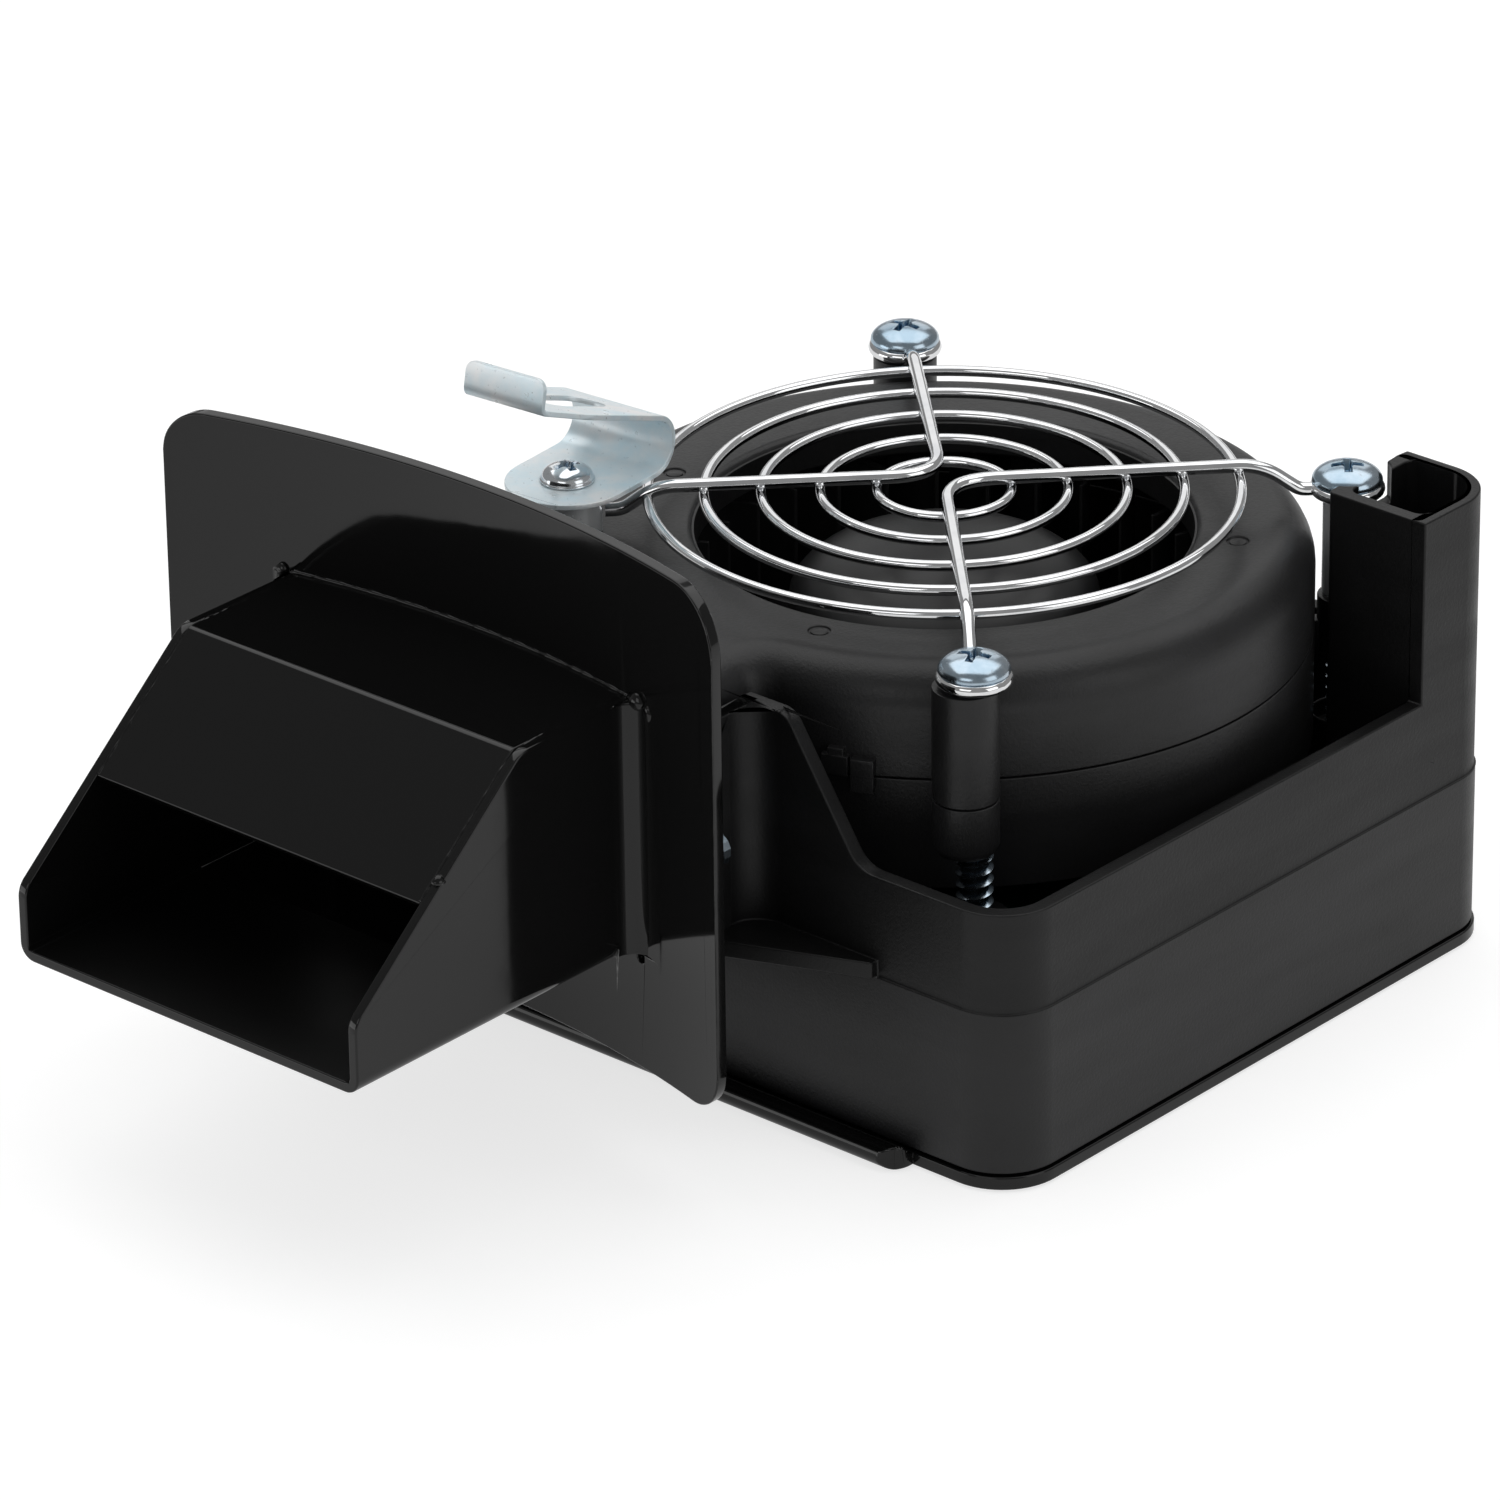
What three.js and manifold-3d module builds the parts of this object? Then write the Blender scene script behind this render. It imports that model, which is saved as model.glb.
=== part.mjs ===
// Combustion fan: a centrifugal blower sunk in a moulded box, blowing through a sheet-metal snout on a curved
// mounting plate, with a wire finger guard over the inlet and a spring clip on top.
// Millimetres. The origin is on the fan's axis at the underside of the base, +Z is up, the snout points to -Y.
import * as THREE from 'three';
import { mergeVertices } from 'three/addons/utils/BufferGeometryUtils.js';
import Module from 'manifold-3d';

const wasm = await Module();
wasm.setup();

// ---------------------------------------------------------------- driving dimensions
const GAP = 0.3; // clearance between pieces that rest on or sit inside each other

// moulded box
const BOX = { x0: -59, x1: 61, y0: -58.2, y1: 53 };
const BOX_Z0 = 2.3;
const BOX_WALL = 2.5;
const FLOOR_Z = 4.8;
const SEAM_Z = 27.2; // mould parting line round the box
const SEAM_STEP = 0.35; // the wall above the parting line is set in by this much
const RIM_Z = 42.5;
const BOX_RADII = { frontLeft: 9, frontRight: 9.2, backRight: 9, backLeft: 5.5 };
const BACK_BULGE = 57.8; // the back wall swells to this radius about the fan's axis to clear the drum

// riser tube at the rear right corner
const RISER = { x0: 43, y0: 34, top: 71, wall: 2.3, outerWall: 1.8, footX: 58.1, footY: 50.1 };

// trough that carries the outlet duct to the curved plate
const TROUGH = { x0: -56.1, x1: 14.1, wall: 2.5, floorTop: 29.7, top: 62.5, fillet: 5 };

// steel base
const BASE_THICKNESS = 2;
const BASE_LIP = 0.4;
const HEM_RADIUS = 1.8;
const HEM_X = [-43, 43.6];

// blower: scroll radius grows from the tongue, counter-clockwise seen from above
const SCROLL_RADIUS = 51.7;
const SCROLL_GROWTH = 0.85; // mm of radius per radian
const TONGUE_RADIUS = 4; // hollow corner where the duct meets the scroll
const BLOWER_WALL = 2;
const DUCT = { x0: -51.2, x1: 9.4, endY: -77, taperY: -60 };
const BLOWER_Z0 = 32.8;
const PARTING_Z = 49.7;
const BLOWER_TOP = 66;
const COVER_ROUNDING = 7;
const INLET_RADIUS = 36;
const BOSS_RADIUS = 4.75;
const BOSS_TOP = 66.7;
const BOSS_FOOT = 41.4;

// screw axes, seen from above
const FRONT = [40.1, -41.0];
const BACK = [-42.0, 40.6];
const RIGHT = [40.2, 42.4];
const CLIP = [-39.0, -37.4];
const POSTS = [[39.2, -41.8], BACK]; // the front post stands a little off its screw's axis

// finger guard
const CLIP_SLEEVE = 5; // radius of the sleeve under the clip
const RING_RADII = [9.65, 17.8, 26.3, 34.5, 42.6];
const RING_WIRE = 0.8;
const SPOKE_WIRE = 1.0;
const RING_Z = 70.7;
const SPOKE_Z = 72.2;
const EYELET_RADIUS = 4.5;
const HEAD_RADIUS = 5.15;
const EYELET_Z = 68.0;
const CLIP_WIRE_Z = 68.9; // the wire's height where it ends behind the clip's sleeve

// impeller and motor
const WHEEL_RADIUS = 44.5;
const BLADE_COUNT = 30;
const BLADE_INNER = 35.6;
const BLADE_Z = [40, 58];
const HUB_RADIUS = 22.5;
const ROTOR = { radius: 20, wall: 1.5, z0: 42, top: 58 };
const MAGNET = { outer: 18.2, inner: 15.9, z0: 43, z1: 55 };
const STATOR_RADIUS = 15.4;
const POLE_COUNT = 4;
const SHAFT_RADIUS = 1.5;
const BEARING = { outer: 4, bore: 1.56, height: 4, seat: 4.05 };
const TUBE_RADIUS = 5.6;

// curved plate and snout
const SHEET = 1.6;
const PLATE = { cx: -21, cy: -242.7, front: 166, back: 168, halfWidth: 51.8, z0: 13.4, z1: 92.3, corner: 6.5 };
const SNOUT = {
  x0: -53.3, x1: 11.3, z0: 31, z1: 70.2, frontY: -135.8, bendY: -102, mouthY: -121.2, lipZ: 42,
  bend: 2.5, // outside radius of the bottom sheet's turned-up edges
};
const BEND_FILLET = 3;
const WALL_FOOT = SNOUT.z0 + SNOUT.bend + GAP; // the side walls start above the bottom sheet's turned-up edges

// spring clip, a strip bent in a C
const STRIP = { x0: -48, x1: -30, thickness: 0.8 };
const CLIP_TURN = 5; // degrees the clip is turned on its screw, seen from above
const CLIP_Z = 73.5; // middle of the strip where it lies flat
const CLIP_BEND = { y: -28.1, radius: 4.3 };
const LEAF_ANGLE = THREE.MathUtils.degToRad(20.2);
const LEAF_LENGTH = 26.7;
const LEAF_TAPER = 8; // the leaf narrows over this much of its end
const TAB_INSET = 2;
const TAB_LENGTH = 5.3;
const TAB_LEAN = THREE.MathUtils.degToRad(12);

// ---------------------------------------------------------------- geometry helpers
const V2 = (x, y) => new THREE.Vector2(x, y);
const V3 = (x, y, z) => new THREE.Vector3(x, y, z);

// Turns a closed three.js geometry into a manifold solid, facing outwards.
function solid(geometry) {
  const bare = new THREE.BufferGeometry();
  bare.setAttribute('position', geometry.getAttribute('position').clone());
  if (geometry.index) bare.setIndex(geometry.index.clone());
  const welded = mergeVertices(bare, 1e-4);
  const index = welded.index.array;
  const position = welded.getAttribute('position').array;
  const kept = [];
  for (let i = 0; i < index.length; i += 3) {
    const [a, b, c] = [index[i], index[i + 1], index[i + 2]];
    if (a !== b && b !== c && c !== a) kept.push(a, b, c);
  }
  let volume = 0;
  const p = (i) => V3(position[3 * i], position[3 * i + 1], position[3 * i + 2]);
  for (let i = 0; i < kept.length; i += 3) {
    volume += p(kept[i]).dot(p(kept[i + 1]).cross(p(kept[i + 2])));
  }
  if (volume < 0) kept.reverse();
  const mesh = new wasm.Mesh({
    numProp: 3,
    vertProperties: Float32Array.from(position),
    triVerts: Uint32Array.from(kept),
  });
  return new wasm.Manifold(mesh);
}

function join(...solids) {
  return solids.reduce((all, next) => all.add(next));
}

function cut(body, ...tools) {
  return tools.reduce((left, tool) => left.subtract(tool), body);
}

function toGeometry(manifold) {
  const mesh = manifold.getMesh();
  const geometry = new THREE.BufferGeometry();
  geometry.setAttribute('position', new THREE.BufferAttribute(Float32Array.from(mesh.vertProperties), 3));
  geometry.setIndex(new THREE.BufferAttribute(Uint32Array.from(mesh.triVerts), 1));
  geometry.computeVertexNormals();
  return geometry;
}

// A plan outline raised from z0 to z1.
function prismZ(shape, z0, z1, curveSegments = 3) {
  const options = { depth: z1 - z0, bevelEnabled: false, curveSegments };
  return solid(new THREE.ExtrudeGeometry(shape, options).translate(0, 0, z0));
}

// A side outline drawn as (y, z), carried from x0 to x1.
function prismX(shape, x0, x1, curveSegments = 3) {
  const geometry = new THREE.ExtrudeGeometry(shape, { depth: x1 - x0, bevelEnabled: false, curveSegments });
  geometry.applyMatrix4(new THREE.Matrix4().makeBasis(V3(0, 1, 0), V3(0, 0, 1), V3(1, 0, 0)));
  return solid(geometry.translate(x0, 0, 0));
}

// A front outline drawn as (x, z), carried from y0 to y1.
function prismY(shape, y0, y1, curveSegments = 3) {
  const geometry = new THREE.ExtrudeGeometry(shape, { depth: y1 - y0, bevelEnabled: false, curveSegments });
  geometry.applyMatrix4(new THREE.Matrix4().makeBasis(V3(1, 0, 0), V3(0, 0, 1), V3(0, -1, 0)));
  return solid(geometry.translate(0, y1, 0));
}

function box(x0, x1, y0, y1, z0, z1) {
  const geometry = new THREE.BoxGeometry(x1 - x0, y1 - y0, z1 - z0);
  return solid(geometry.translate((x0 + x1) / 2, (y0 + y1) / 2, (z0 + z1) / 2));
}

// A solid of revolution about a vertical axis through `at`, from (radius, z) points that start and end on it.
function turned(points, at = [0, 0], segments = 24) {
  const profile = points.map(([r, z]) => V2(r, z));
  return solid(new THREE.LatheGeometry(profile, segments).rotateX(Math.PI / 2).translate(at[0], at[1], 0));
}

function rod(radius, z0, z1, at = [0, 0], segments = 24) {
  return turned([[0, z0], [radius, z0], [radius, z1], [0, z1]], at, segments);
}

function ring(inner, outer, z0, z1, at = [0, 0], segments = 32) {
  const corners = [[inner, z0], [outer, z0], [outer, z1], [inner, z1], [inner, z0]];
  return turned(corners, at, segments);
}

function polygon(points) {
  return new THREE.Shape(points.map(([x, y]) => V2(x, y)));
}

// A rectangle with its own radius at each corner, and a back edge that may swell to a radius about the origin.
function roundedRect(x0, x1, y0, y1, radii, bulge = 0) {
  const same = { frontLeft: radii, frontRight: radii, backRight: radii, backLeft: radii };
  const r = typeof radii === 'number' ? same : radii;
  const shape = new THREE.Shape();
  shape.absarc(x1 - r.frontRight, y0 + r.frontRight, r.frontRight, -Math.PI / 2, 0);
  shape.absarc(x1 - r.backRight, y1 - r.backRight, r.backRight, 0, Math.PI / 2);
  if (bulge > 0) shape.absarc(0, 0, bulge, Math.asin(y1 / bulge), Math.PI - Math.asin(y1 / bulge));
  shape.absarc(x0 + r.backLeft, y1 - r.backLeft, r.backLeft, Math.PI / 2, Math.PI);
  shape.absarc(x0 + r.frontLeft, y0 + r.frontLeft, r.frontLeft, Math.PI, 1.5 * Math.PI);
  return shape;
}

function boxOutline(inset) {
  const radii = {};
  for (const [corner, radius] of Object.entries(BOX_RADII)) radii[corner] = Math.max(radius - inset, 0.8);
  return roundedRect(BOX.x0 + inset, BOX.x1 - inset, BOX.y0 + inset, BOX.y1 - inset, radii, BACK_BULGE - inset);
}

// A round wire through a list of points.
class WirePath extends THREE.Curve {
  constructor(points, cornerRadius) {
    super();
    this.path = new THREE.CurvePath();
    let start = points[0];
    for (let i = 1; i < points.length - 1; i += 1) {
      const into = points[i].clone().sub(points[i - 1]);
      const out = points[i + 1].clone().sub(points[i]);
      const reach = Math.min(cornerRadius, into.length() / 2.1, out.length() / 2.1);
      const before = points[i].clone().addScaledVector(into.normalize(), -reach);
      const after = points[i].clone().addScaledVector(out.normalize(), reach);
      this.path.add(new THREE.LineCurve3(start, before));
      this.path.add(new THREE.QuadraticBezierCurve3(before, points[i], after));
      start = after;
    }
    this.path.add(new THREE.LineCurve3(start, points[points.length - 1]));
  }

  getPoint(t) {
    return this.path.getPoint(Math.min(Math.max(t, 0), 1));
  }
}

function wire(points, radius, cornerRadius, steps, sides = 6) {
  const section = new THREE.Shape();
  section.absarc(0, 0, radius, 0, 2 * Math.PI);
  const extrudePath = new WirePath(points, cornerRadius);
  return solid(new THREE.ExtrudeGeometry(section, { steps, extrudePath, curveSegments: sides / 2 }));
}

function hoop(radius, wireRadius, z, at, segments, sides) {
  return solid(new THREE.TorusGeometry(radius, wireRadius, sides, segments).translate(at[0], at[1], z));
}

// ---------------------------------------------------------------- materials
function material(color, roughness, metalness) {
  return new THREE.MeshStandardMaterial({ color, roughness, metalness });
}

const MATERIALS = {
  box_plastic: material(0x232324, 0.62, 0),
  blower_plastic: material(0x2a2a2b, 0.55, 0),
  wheel_plastic: material(0x1d1d1e, 0.6, 0),
  black_sheet: material(0x0d0d0e, 0.16, 0.3),
  chrome_wire: material(0xd9dbdd, 0.08, 1),
  zinc: material(0xc3cbd2, 0.26, 1),
  rotor_steel: material(0x8d9296, 0.4, 1),
  magnet: material(0x3b3b3d, 0.8, 0.2),
  lamination: material(0x77797c, 0.5, 0.9),
  copper: material(0xb56a36, 0.35, 0.9),
  bearing_steel: material(0xb8bcc0, 0.2, 1),
  board: material(0x1f5a3a, 0.5, 0),
  component: material(0x26282c, 0.5, 0.1),
  cable_rubber: material(0x1a1a1a, 0.75, 0),
  socket_nylon: material(0xe4e0d4, 0.5, 0),
};

const fan = new THREE.Group();
fan.name = 'combustion_fan';

function addPiece(name, body, slot) {
  const mesh = new THREE.Mesh(toGeometry(body), MATERIALS[slot]);
  mesh.name = name;
  fan.add(mesh);
}

// ---------------------------------------------------------------- steel base
function basePlate() {
  const sheet = prismZ(boxOutline(-BASE_LIP), 0, BASE_THICKNESS);
  const hemY = BOX.y0 - 3;
  const web = box(HEM_X[0], HEM_X[1], hemY, BOX.y0 + 2, 0, BASE_THICKNESS);
  const roll = new THREE.Shape();
  roll.absarc(hemY, HEM_RADIUS, HEM_RADIUS, 0, 2 * Math.PI);
  const hem = prismX(roll, HEM_X[0], HEM_X[1]);
  const sink = [[0, -1], [4.7, -1], [3.7, 0], [1.9, 1.8], [1.9, 3], [0, 3]];
  const sinks = BASE_SCREWS.map((at) => turned(sink, at, 16));
  return cut(join(sheet, web, hem), ...sinks);
}

const BASE_SCREWS = [[-49, -46], [49, -46], [-49, 43], [24, 43]];

function baseScrew(at) {
  return turned([[0, 0.05], [3.35, 0.05], [1.55, 1.85], [1.55, 9], [0.6, 10], [0, 10]], at, 16);
}

// ---------------------------------------------------------------- moulded box
// Plan outline of the trough floor: a gusset on the right, and a front edge that follows the curved plate.
function troughFloor() {
  const backY = BOX.y0 + 0.6;
  const clearance = PLATE.back + 0.5;
  const angleAt = (x) => Math.asin((x - PLATE.cx) / clearance);
  const plan = new THREE.Shape();
  plan.moveTo(36.8, backY);
  plan.lineTo(TROUGH.x0, backY);
  const left = Math.PI / 2 - angleAt(TROUGH.x0);
  const right = Math.PI / 2 - angleAt(TROUGH.x1);
  plan.absarc(PLATE.cx, PLATE.cy, clearance, left, right, true);
  plan.lineTo(TROUGH.x1, -70);
  plan.lineTo(15.6, -67.9);
  plan.lineTo(36.8, -59.3);
  plan.closePath();
  return prismZ(plan, SEAM_Z, TROUGH.floorTop, 6);
}

function troughWall(x0, x1) {
  return box(x0, x1, -77.4, BOX.y0 + 1, SEAM_Z, TROUGH.top);
}

// Hollow corner between the duct's right wall and the box front.
function troughFillet() {
  const centre = [TROUGH.x1 + TROUGH.fillet, BOX.y0 + SEAM_STEP - TROUGH.fillet];
  const block = box(TROUGH.x1 - 0.5, centre[0], centre[1], BOX.y0 + 1, SEAM_Z, TROUGH.top);
  return cut(block, rod(TROUGH.fillet, SEAM_Z - 1, TROUGH.top + 1, centre, 32));
}

// Ear that a screw passes through into the back of the curved plate.
const EAR = { y0: -73.5, y1: -70.5, z0: 40, z1: 50, reach: 5.5 };
const EAR_SCREWS = [TROUGH.x1 + 2.8, TROUGH.x0 - 2.8];

function troughEar(side) {
  const x0 = side > 0 ? TROUGH.x1 - 1 : TROUGH.x0 - EAR.reach;
  return box(x0, x0 + EAR.reach + 1, EAR.y0, EAR.y1, EAR.z0, EAR.z1);
}

// The front wall rises beside the duct, then slopes down to the rim.
function raisedFrontRight() {
  const outline = new THREE.Shape();
  outline.moveTo(11.6, RIM_Z - 6);
  outline.lineTo(38, RIM_Z - 6);
  outline.lineTo(38, RIM_Z);
  outline.quadraticCurveTo(33.6, RIM_Z, 32.2, 44.6);
  outline.lineTo(21, 60.6);
  outline.quadraticCurveTo(19.4, TROUGH.top, 16.4, TROUGH.top);
  outline.lineTo(11.6, TROUGH.top);
  return prismY(outline, BOX.y0 - 1, BOX.y0 + 6, 5);
}

function raisedFrontLeft() {
  const outline = new THREE.Shape();
  outline.moveTo(BOX.y0 - 1, RIM_Z - 6);
  outline.lineTo(-30, RIM_Z - 6);
  outline.lineTo(-30, RIM_Z);
  outline.quadraticCurveTo(-34, RIM_Z, -35.4, 44.6);
  outline.lineTo(-46, 60.6);
  outline.quadraticCurveTo(-47.4, TROUGH.top, -50, TROUGH.top);
  outline.lineTo(BOX.y0 - 1, TROUGH.top);
  return prismX(outline, BOX.x0 - 1, TROUGH.x0 + TROUGH.wall, 5);
}

function pillar(at, radius, top, bore, boreDepth) {
  const post = rod(radius, FLOOR_Z - 0.5, top, at, 16);
  return { post, hole: rod(bore, top - boreDepth, top + 1, at, 12) };
}

function boxHousing() {
  const lower = prismZ(boxOutline(0), BOX_Z0, SEAM_Z);
  const upper = prismZ(boxOutline(SEAM_STEP), SEAM_Z - 0.5, RIM_Z);
  const inside = boxOutline(BOX_WALL + SEAM_STEP);
  const cavity = prismZ(inside, FLOOR_Z, RISER.top + 1);
  const tallRing = cut(prismZ(boxOutline(SEAM_STEP), RIM_Z - 4, RISER.top), cavity);
  const riserZone = box(RISER.x0, BOX.x1 + 1, RISER.y0, BOX.y1 + 1, RIM_Z - 4, RISER.top);
  const raised = tallRing.intersect(join(raisedFrontRight(), raisedFrontLeft(), riserZone));

  const innerX = RISER.x0 + RISER.wall;
  const innerY = RISER.y0 + RISER.wall;
  const far = SEAM_STEP + RISER.outerWall;
  const outerRadii = { frontLeft: 1.2, frontRight: 1.2, backRight: 8, backLeft: 1.2 };
  const innerRadii = { frontLeft: 1.5, frontRight: 2, backRight: BOX_RADII.backRight - far, backLeft: 1.5 };
  const riserOuter = roundedRect(RISER.x0, BOX.x1 - 1.4, RISER.y0, BOX.y1 - 1.4, outerRadii);
  const riserInner = roundedRect(innerX, BOX.x1 - far, innerY, BOX.y1 - far, innerRadii);
  const riserTube = prismZ(riserOuter, FLOOR_Z - 0.5, RISER.top, 4);
  const riserBore = prismZ(riserInner, RIM_Z - 10, RISER.top + 1, 5);
  const riserFoot = prismZ(roundedRect(innerX, RISER.footX, innerY, RISER.footY, 2), FLOOR_Z, RIM_Z, 4);
  const leadSlot = box(48, 54, RISER.y0 - 1, RISER.y0 + 4, FLOOR_Z, FLOOR_Z + 16);
  const driverRoom = rod(4.5, FLOOR_Z + 25, RISER.top + 1, RIGHT, 20);
  const headRoom = rod(6.3, 65.5, RISER.top + 1, RIGHT, 20);
  const screwRoom = join(driverRoom, headRoom);

  const ductX = [TROUGH.x0 + TROUGH.wall, TROUGH.x1 - TROUGH.wall];
  const ductOpening = box(...ductX, BOX.y0 - 1, BOX.y0 + 5, TROUGH.floorTop, 80);
  const trough = join(
    troughFloor(),
    troughWall(TROUGH.x0, TROUGH.x0 + TROUGH.wall),
    troughWall(TROUGH.x1 - TROUGH.wall, TROUGH.x1),
    troughFillet(),
    troughEar(1),
    troughEar(-1),
  );
  const earHoles = EAR_SCREWS.map((x) => alongY(rod(1.7, 60, 80, [0, 0], 12), x, 45));

  const long = [pillar(FRONT, 5, 34.5, 2.7, 9), pillar(BACK, 5, 32.5, 2.7, 7), pillar(RIGHT, 5, 32.5, 2.7, 7)];
  const short = BASE_SCREWS.map((at) => pillar(at, 4, 14, 0.1, 0.1));
  const boards = BOARD_POSTS.map((at) => pillar(at, 3, BOARD_Z - GAP, 0.1, 0.1));
  const posts = [...long, ...short, ...boards].map((p) => p.post);
  const pins = BOARD_POSTS.map((at) => rod(1.2, 8, BOARD_Z + 3, at, 10));
  const screwHoles = BASE_SCREWS.map((at) => rod(1.9, 0, 11, at, 12));
  const shell = cut(join(lower, upper), cavity);
  const body = join(shell, raised, riserTube, trough, ...posts, ...pins);
  const riserCuts = [riserBore, riserFoot, leadSlot, screwRoom];
  return cut(body, ductOpening, ...riserCuts, ...earHoles, ...long.map((p) => p.hole), ...screwHoles);
}

// Lays a body built along +Z (z = distance in front of the axis) along -Y at height z and position x.
function alongY(body, x, z) {
  return body.rotate([90, 0, 0]).translate([x, 0, z]);
}

// ---------------------------------------------------------------- blower housing
// Scroll outline seen from above, moved inwards by `inset`, with the duct running to endY.
function scrollOutline(inset, endY) {
  const side = DUCT.x1 - inset;
  const start = SCROLL_RADIUS - inset;
  const hollow = TONGUE_RADIUS + inset;
  const centre = [side + hollow, -Math.sqrt((start + hollow) ** 2 - (side + hollow) ** 2)];
  const tongue = Math.atan2(centre[1], centre[0]);
  const steps = 30;
  const points = [];
  for (let i = 0; i <= steps; i += 1) {
    const angle = tongue + ((Math.PI - tongue) * i) / steps;
    const radius = start + SCROLL_GROWTH * (angle - tongue);
    points.push([radius * Math.cos(angle), radius * Math.sin(angle)]);
  }
  points.push([DUCT.x0 + inset, DUCT.taperY], [DUCT.x0 + inset, endY], [side, endY]);
  for (let i = 0; i < 4; i += 1) {
    const angle = Math.PI + (tongue * i) / 4;
    points.push([centre[0] + hollow * Math.cos(angle), centre[1] + hollow * Math.sin(angle)]);
  }
  return polygon(points);
}

// The scroll outline as a block whose top edge is rounded.
function roundedScroll(inset, rounding, z0, z1) {
  const shape = scrollOutline(inset, DUCT.endY - 12);
  const geometry = new THREE.ExtrudeGeometry(shape, {
    depth: z1 - z0 - 2 * rounding,
    bevelEnabled: true,
    bevelThickness: rounding,
    bevelSize: rounding,
    bevelOffset: -rounding,
    bevelSegments: 3,
  });
  return solid(geometry.translate(0, 0, z0 + rounding));
}

function bossWeb(at, z0, z1) {
  const reach = Math.hypot(at[0], at[1]);
  const web = box(SCROLL_RADIUS - 1, reach, -1.2, 1.2, z0, z1);
  return web.rotate([0, 0, THREE.MathUtils.radToDeg(Math.atan2(at[1], at[0]))]);
}

// Snap latch across the parting line, on the scroll wall at the given bearing.
const LATCH_BEARING = -64;

function latchBlock(offset, width, z0, z1, reach, inner = -1.5) {
  const half = width / 2;
  const block = box(SCROLL_RADIUS + inner, SCROLL_RADIUS + reach, offset - half, offset + half, z0, z1);
  return block.rotate([0, 0, LATCH_BEARING]);
}

const PIN_MARKS = [[10.8, -39.9], [37, 21.2], [-40.8, -12.5]]; // left by the mould's ejector pins

function blowerCover() {
  const splitZ = PARTING_Z + GAP / 2;
  const below = box(-90, 90, -130, 90, 0, splitZ);
  const beyond = box(-90, 90, -130, DUCT.endY, 0, 90);
  const outer = cut(roundedScroll(0, COVER_ROUNDING, 30, BLOWER_TOP), below, beyond);
  const inner = roundedScroll(BLOWER_WALL, COVER_ROUNDING - 2, 20, BLOWER_TOP - BLOWER_WALL);
  const inlet = rod(INLET_RADIUS, 50, 80, [0, 0], 40);
  const collar = ring(INLET_RADIUS, INLET_RADIUS + 1.6, 60.5, BLOWER_TOP - 1, [0, 0], 40);
  const bosses = POSTS.map((at) => join(rod(BOSS_RADIUS, splitZ, BOSS_TOP, at, 20), bossWeb(at, splitZ, 60)));
  const clipBoss = rod(4, 56, BLOWER_TOP - 0.5, CLIP, 16);
  const latch = join(
    latchBlock(-2.4, 4.2, splitZ, 52.8, 1.2),
    latchBlock(1.5, 3.6, splitZ, 52.7, 1.7),
    latchBlock(1.5, 3.6, 47.6, splitZ + 0.5, 1.7, 0.65),
  );
  const holes = [FRONT, BACK].map((at) => rod(2.7, 40, 80, at, 16));
  const clipHole = rod(2.3, 57.5, 80, CLIP, 12);
  const pinMarks = PIN_MARKS.map((at) => rod(1.6, BLOWER_TOP - 0.3, 70, at, 12));
  const shell = cut(outer, inner);
  const open = cut(join(shell, clipBoss), inlet);
  return cut(join(open, collar, ...bosses, latch), ...holes, clipHole, ...pinMarks);
}

function blowerLower() {
  const splitZ = PARTING_Z - GAP / 2;
  const outer = prismZ(scrollOutline(0, DUCT.endY), BLOWER_Z0, splitZ);
  const inner = prismZ(scrollOutline(BLOWER_WALL, DUCT.endY - 5), BLOWER_Z0 + BLOWER_WALL, splitZ + 1);
  const corner = POSTS.map((at) => {
    const foot = [[0, BOSS_FOOT], [4, BOSS_FOOT], [BOSS_RADIUS, BOSS_FOOT + 1.3]];
    const post = turned([...foot, [BOSS_RADIUS, splitZ], [0, splitZ]], at, 20);
    return join(post, bossWeb(at, BOSS_FOOT + 2, splitZ));
  });
  const rightBoss = join(rod(4.1, BOSS_FOOT, 51.2, RIGHT, 16), bossWeb(RIGHT, BOSS_FOOT + 1, 47.5));
  const flange = ring(TUBE_RADIUS - 1, 13, BLOWER_Z0 + 0.5, 37, [0, 0], 24);
  const tube = join(rod(TUBE_RADIUS, BLOWER_Z0 + 0.5, 54, [0, 0], 24), flange);
  const tubeBore = join(
    rod(BEARING.seat, 30, 39.1, [0, 0], 24),
    rod(2.6, 30, 60, [0, 0], 24),
    rod(BEARING.seat, 49.6, 60, [0, 0], 24),
  );
  const holes = [FRONT, BACK, RIGHT].map((at) => rod(2.7, 30, 80, at, 16));
  const leadHole = rod(1.9, 30, 40, MOTOR_LEAD_AT, 12);
  return cut(join(cut(outer, inner), ...corner, rightBoss, tube), tubeBore, ...holes, leadHole);
}

// ---------------------------------------------------------------- impeller and motor
// One forward-curved blade, drawn for bearing 0.
function bladeOutline() {
  const sweep = THREE.MathUtils.degToRad(9);
  const steps = 2;
  const halfThickness = 0.45;
  const front = [];
  const back = [];
  for (let i = 0; i <= steps; i += 1) {
    const t = i / steps;
    const radius = THREE.MathUtils.lerp(BLADE_INNER, WHEEL_RADIUS - 0.6, t);
    const angle = sweep * t * t;
    const turn = halfThickness / radius;
    front.push([radius * Math.cos(angle - turn), radius * Math.sin(angle - turn)]);
    back.unshift([radius * Math.cos(angle + turn), radius * Math.sin(angle + turn)]);
  }
  return polygon([...front, ...back]);
}

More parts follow.
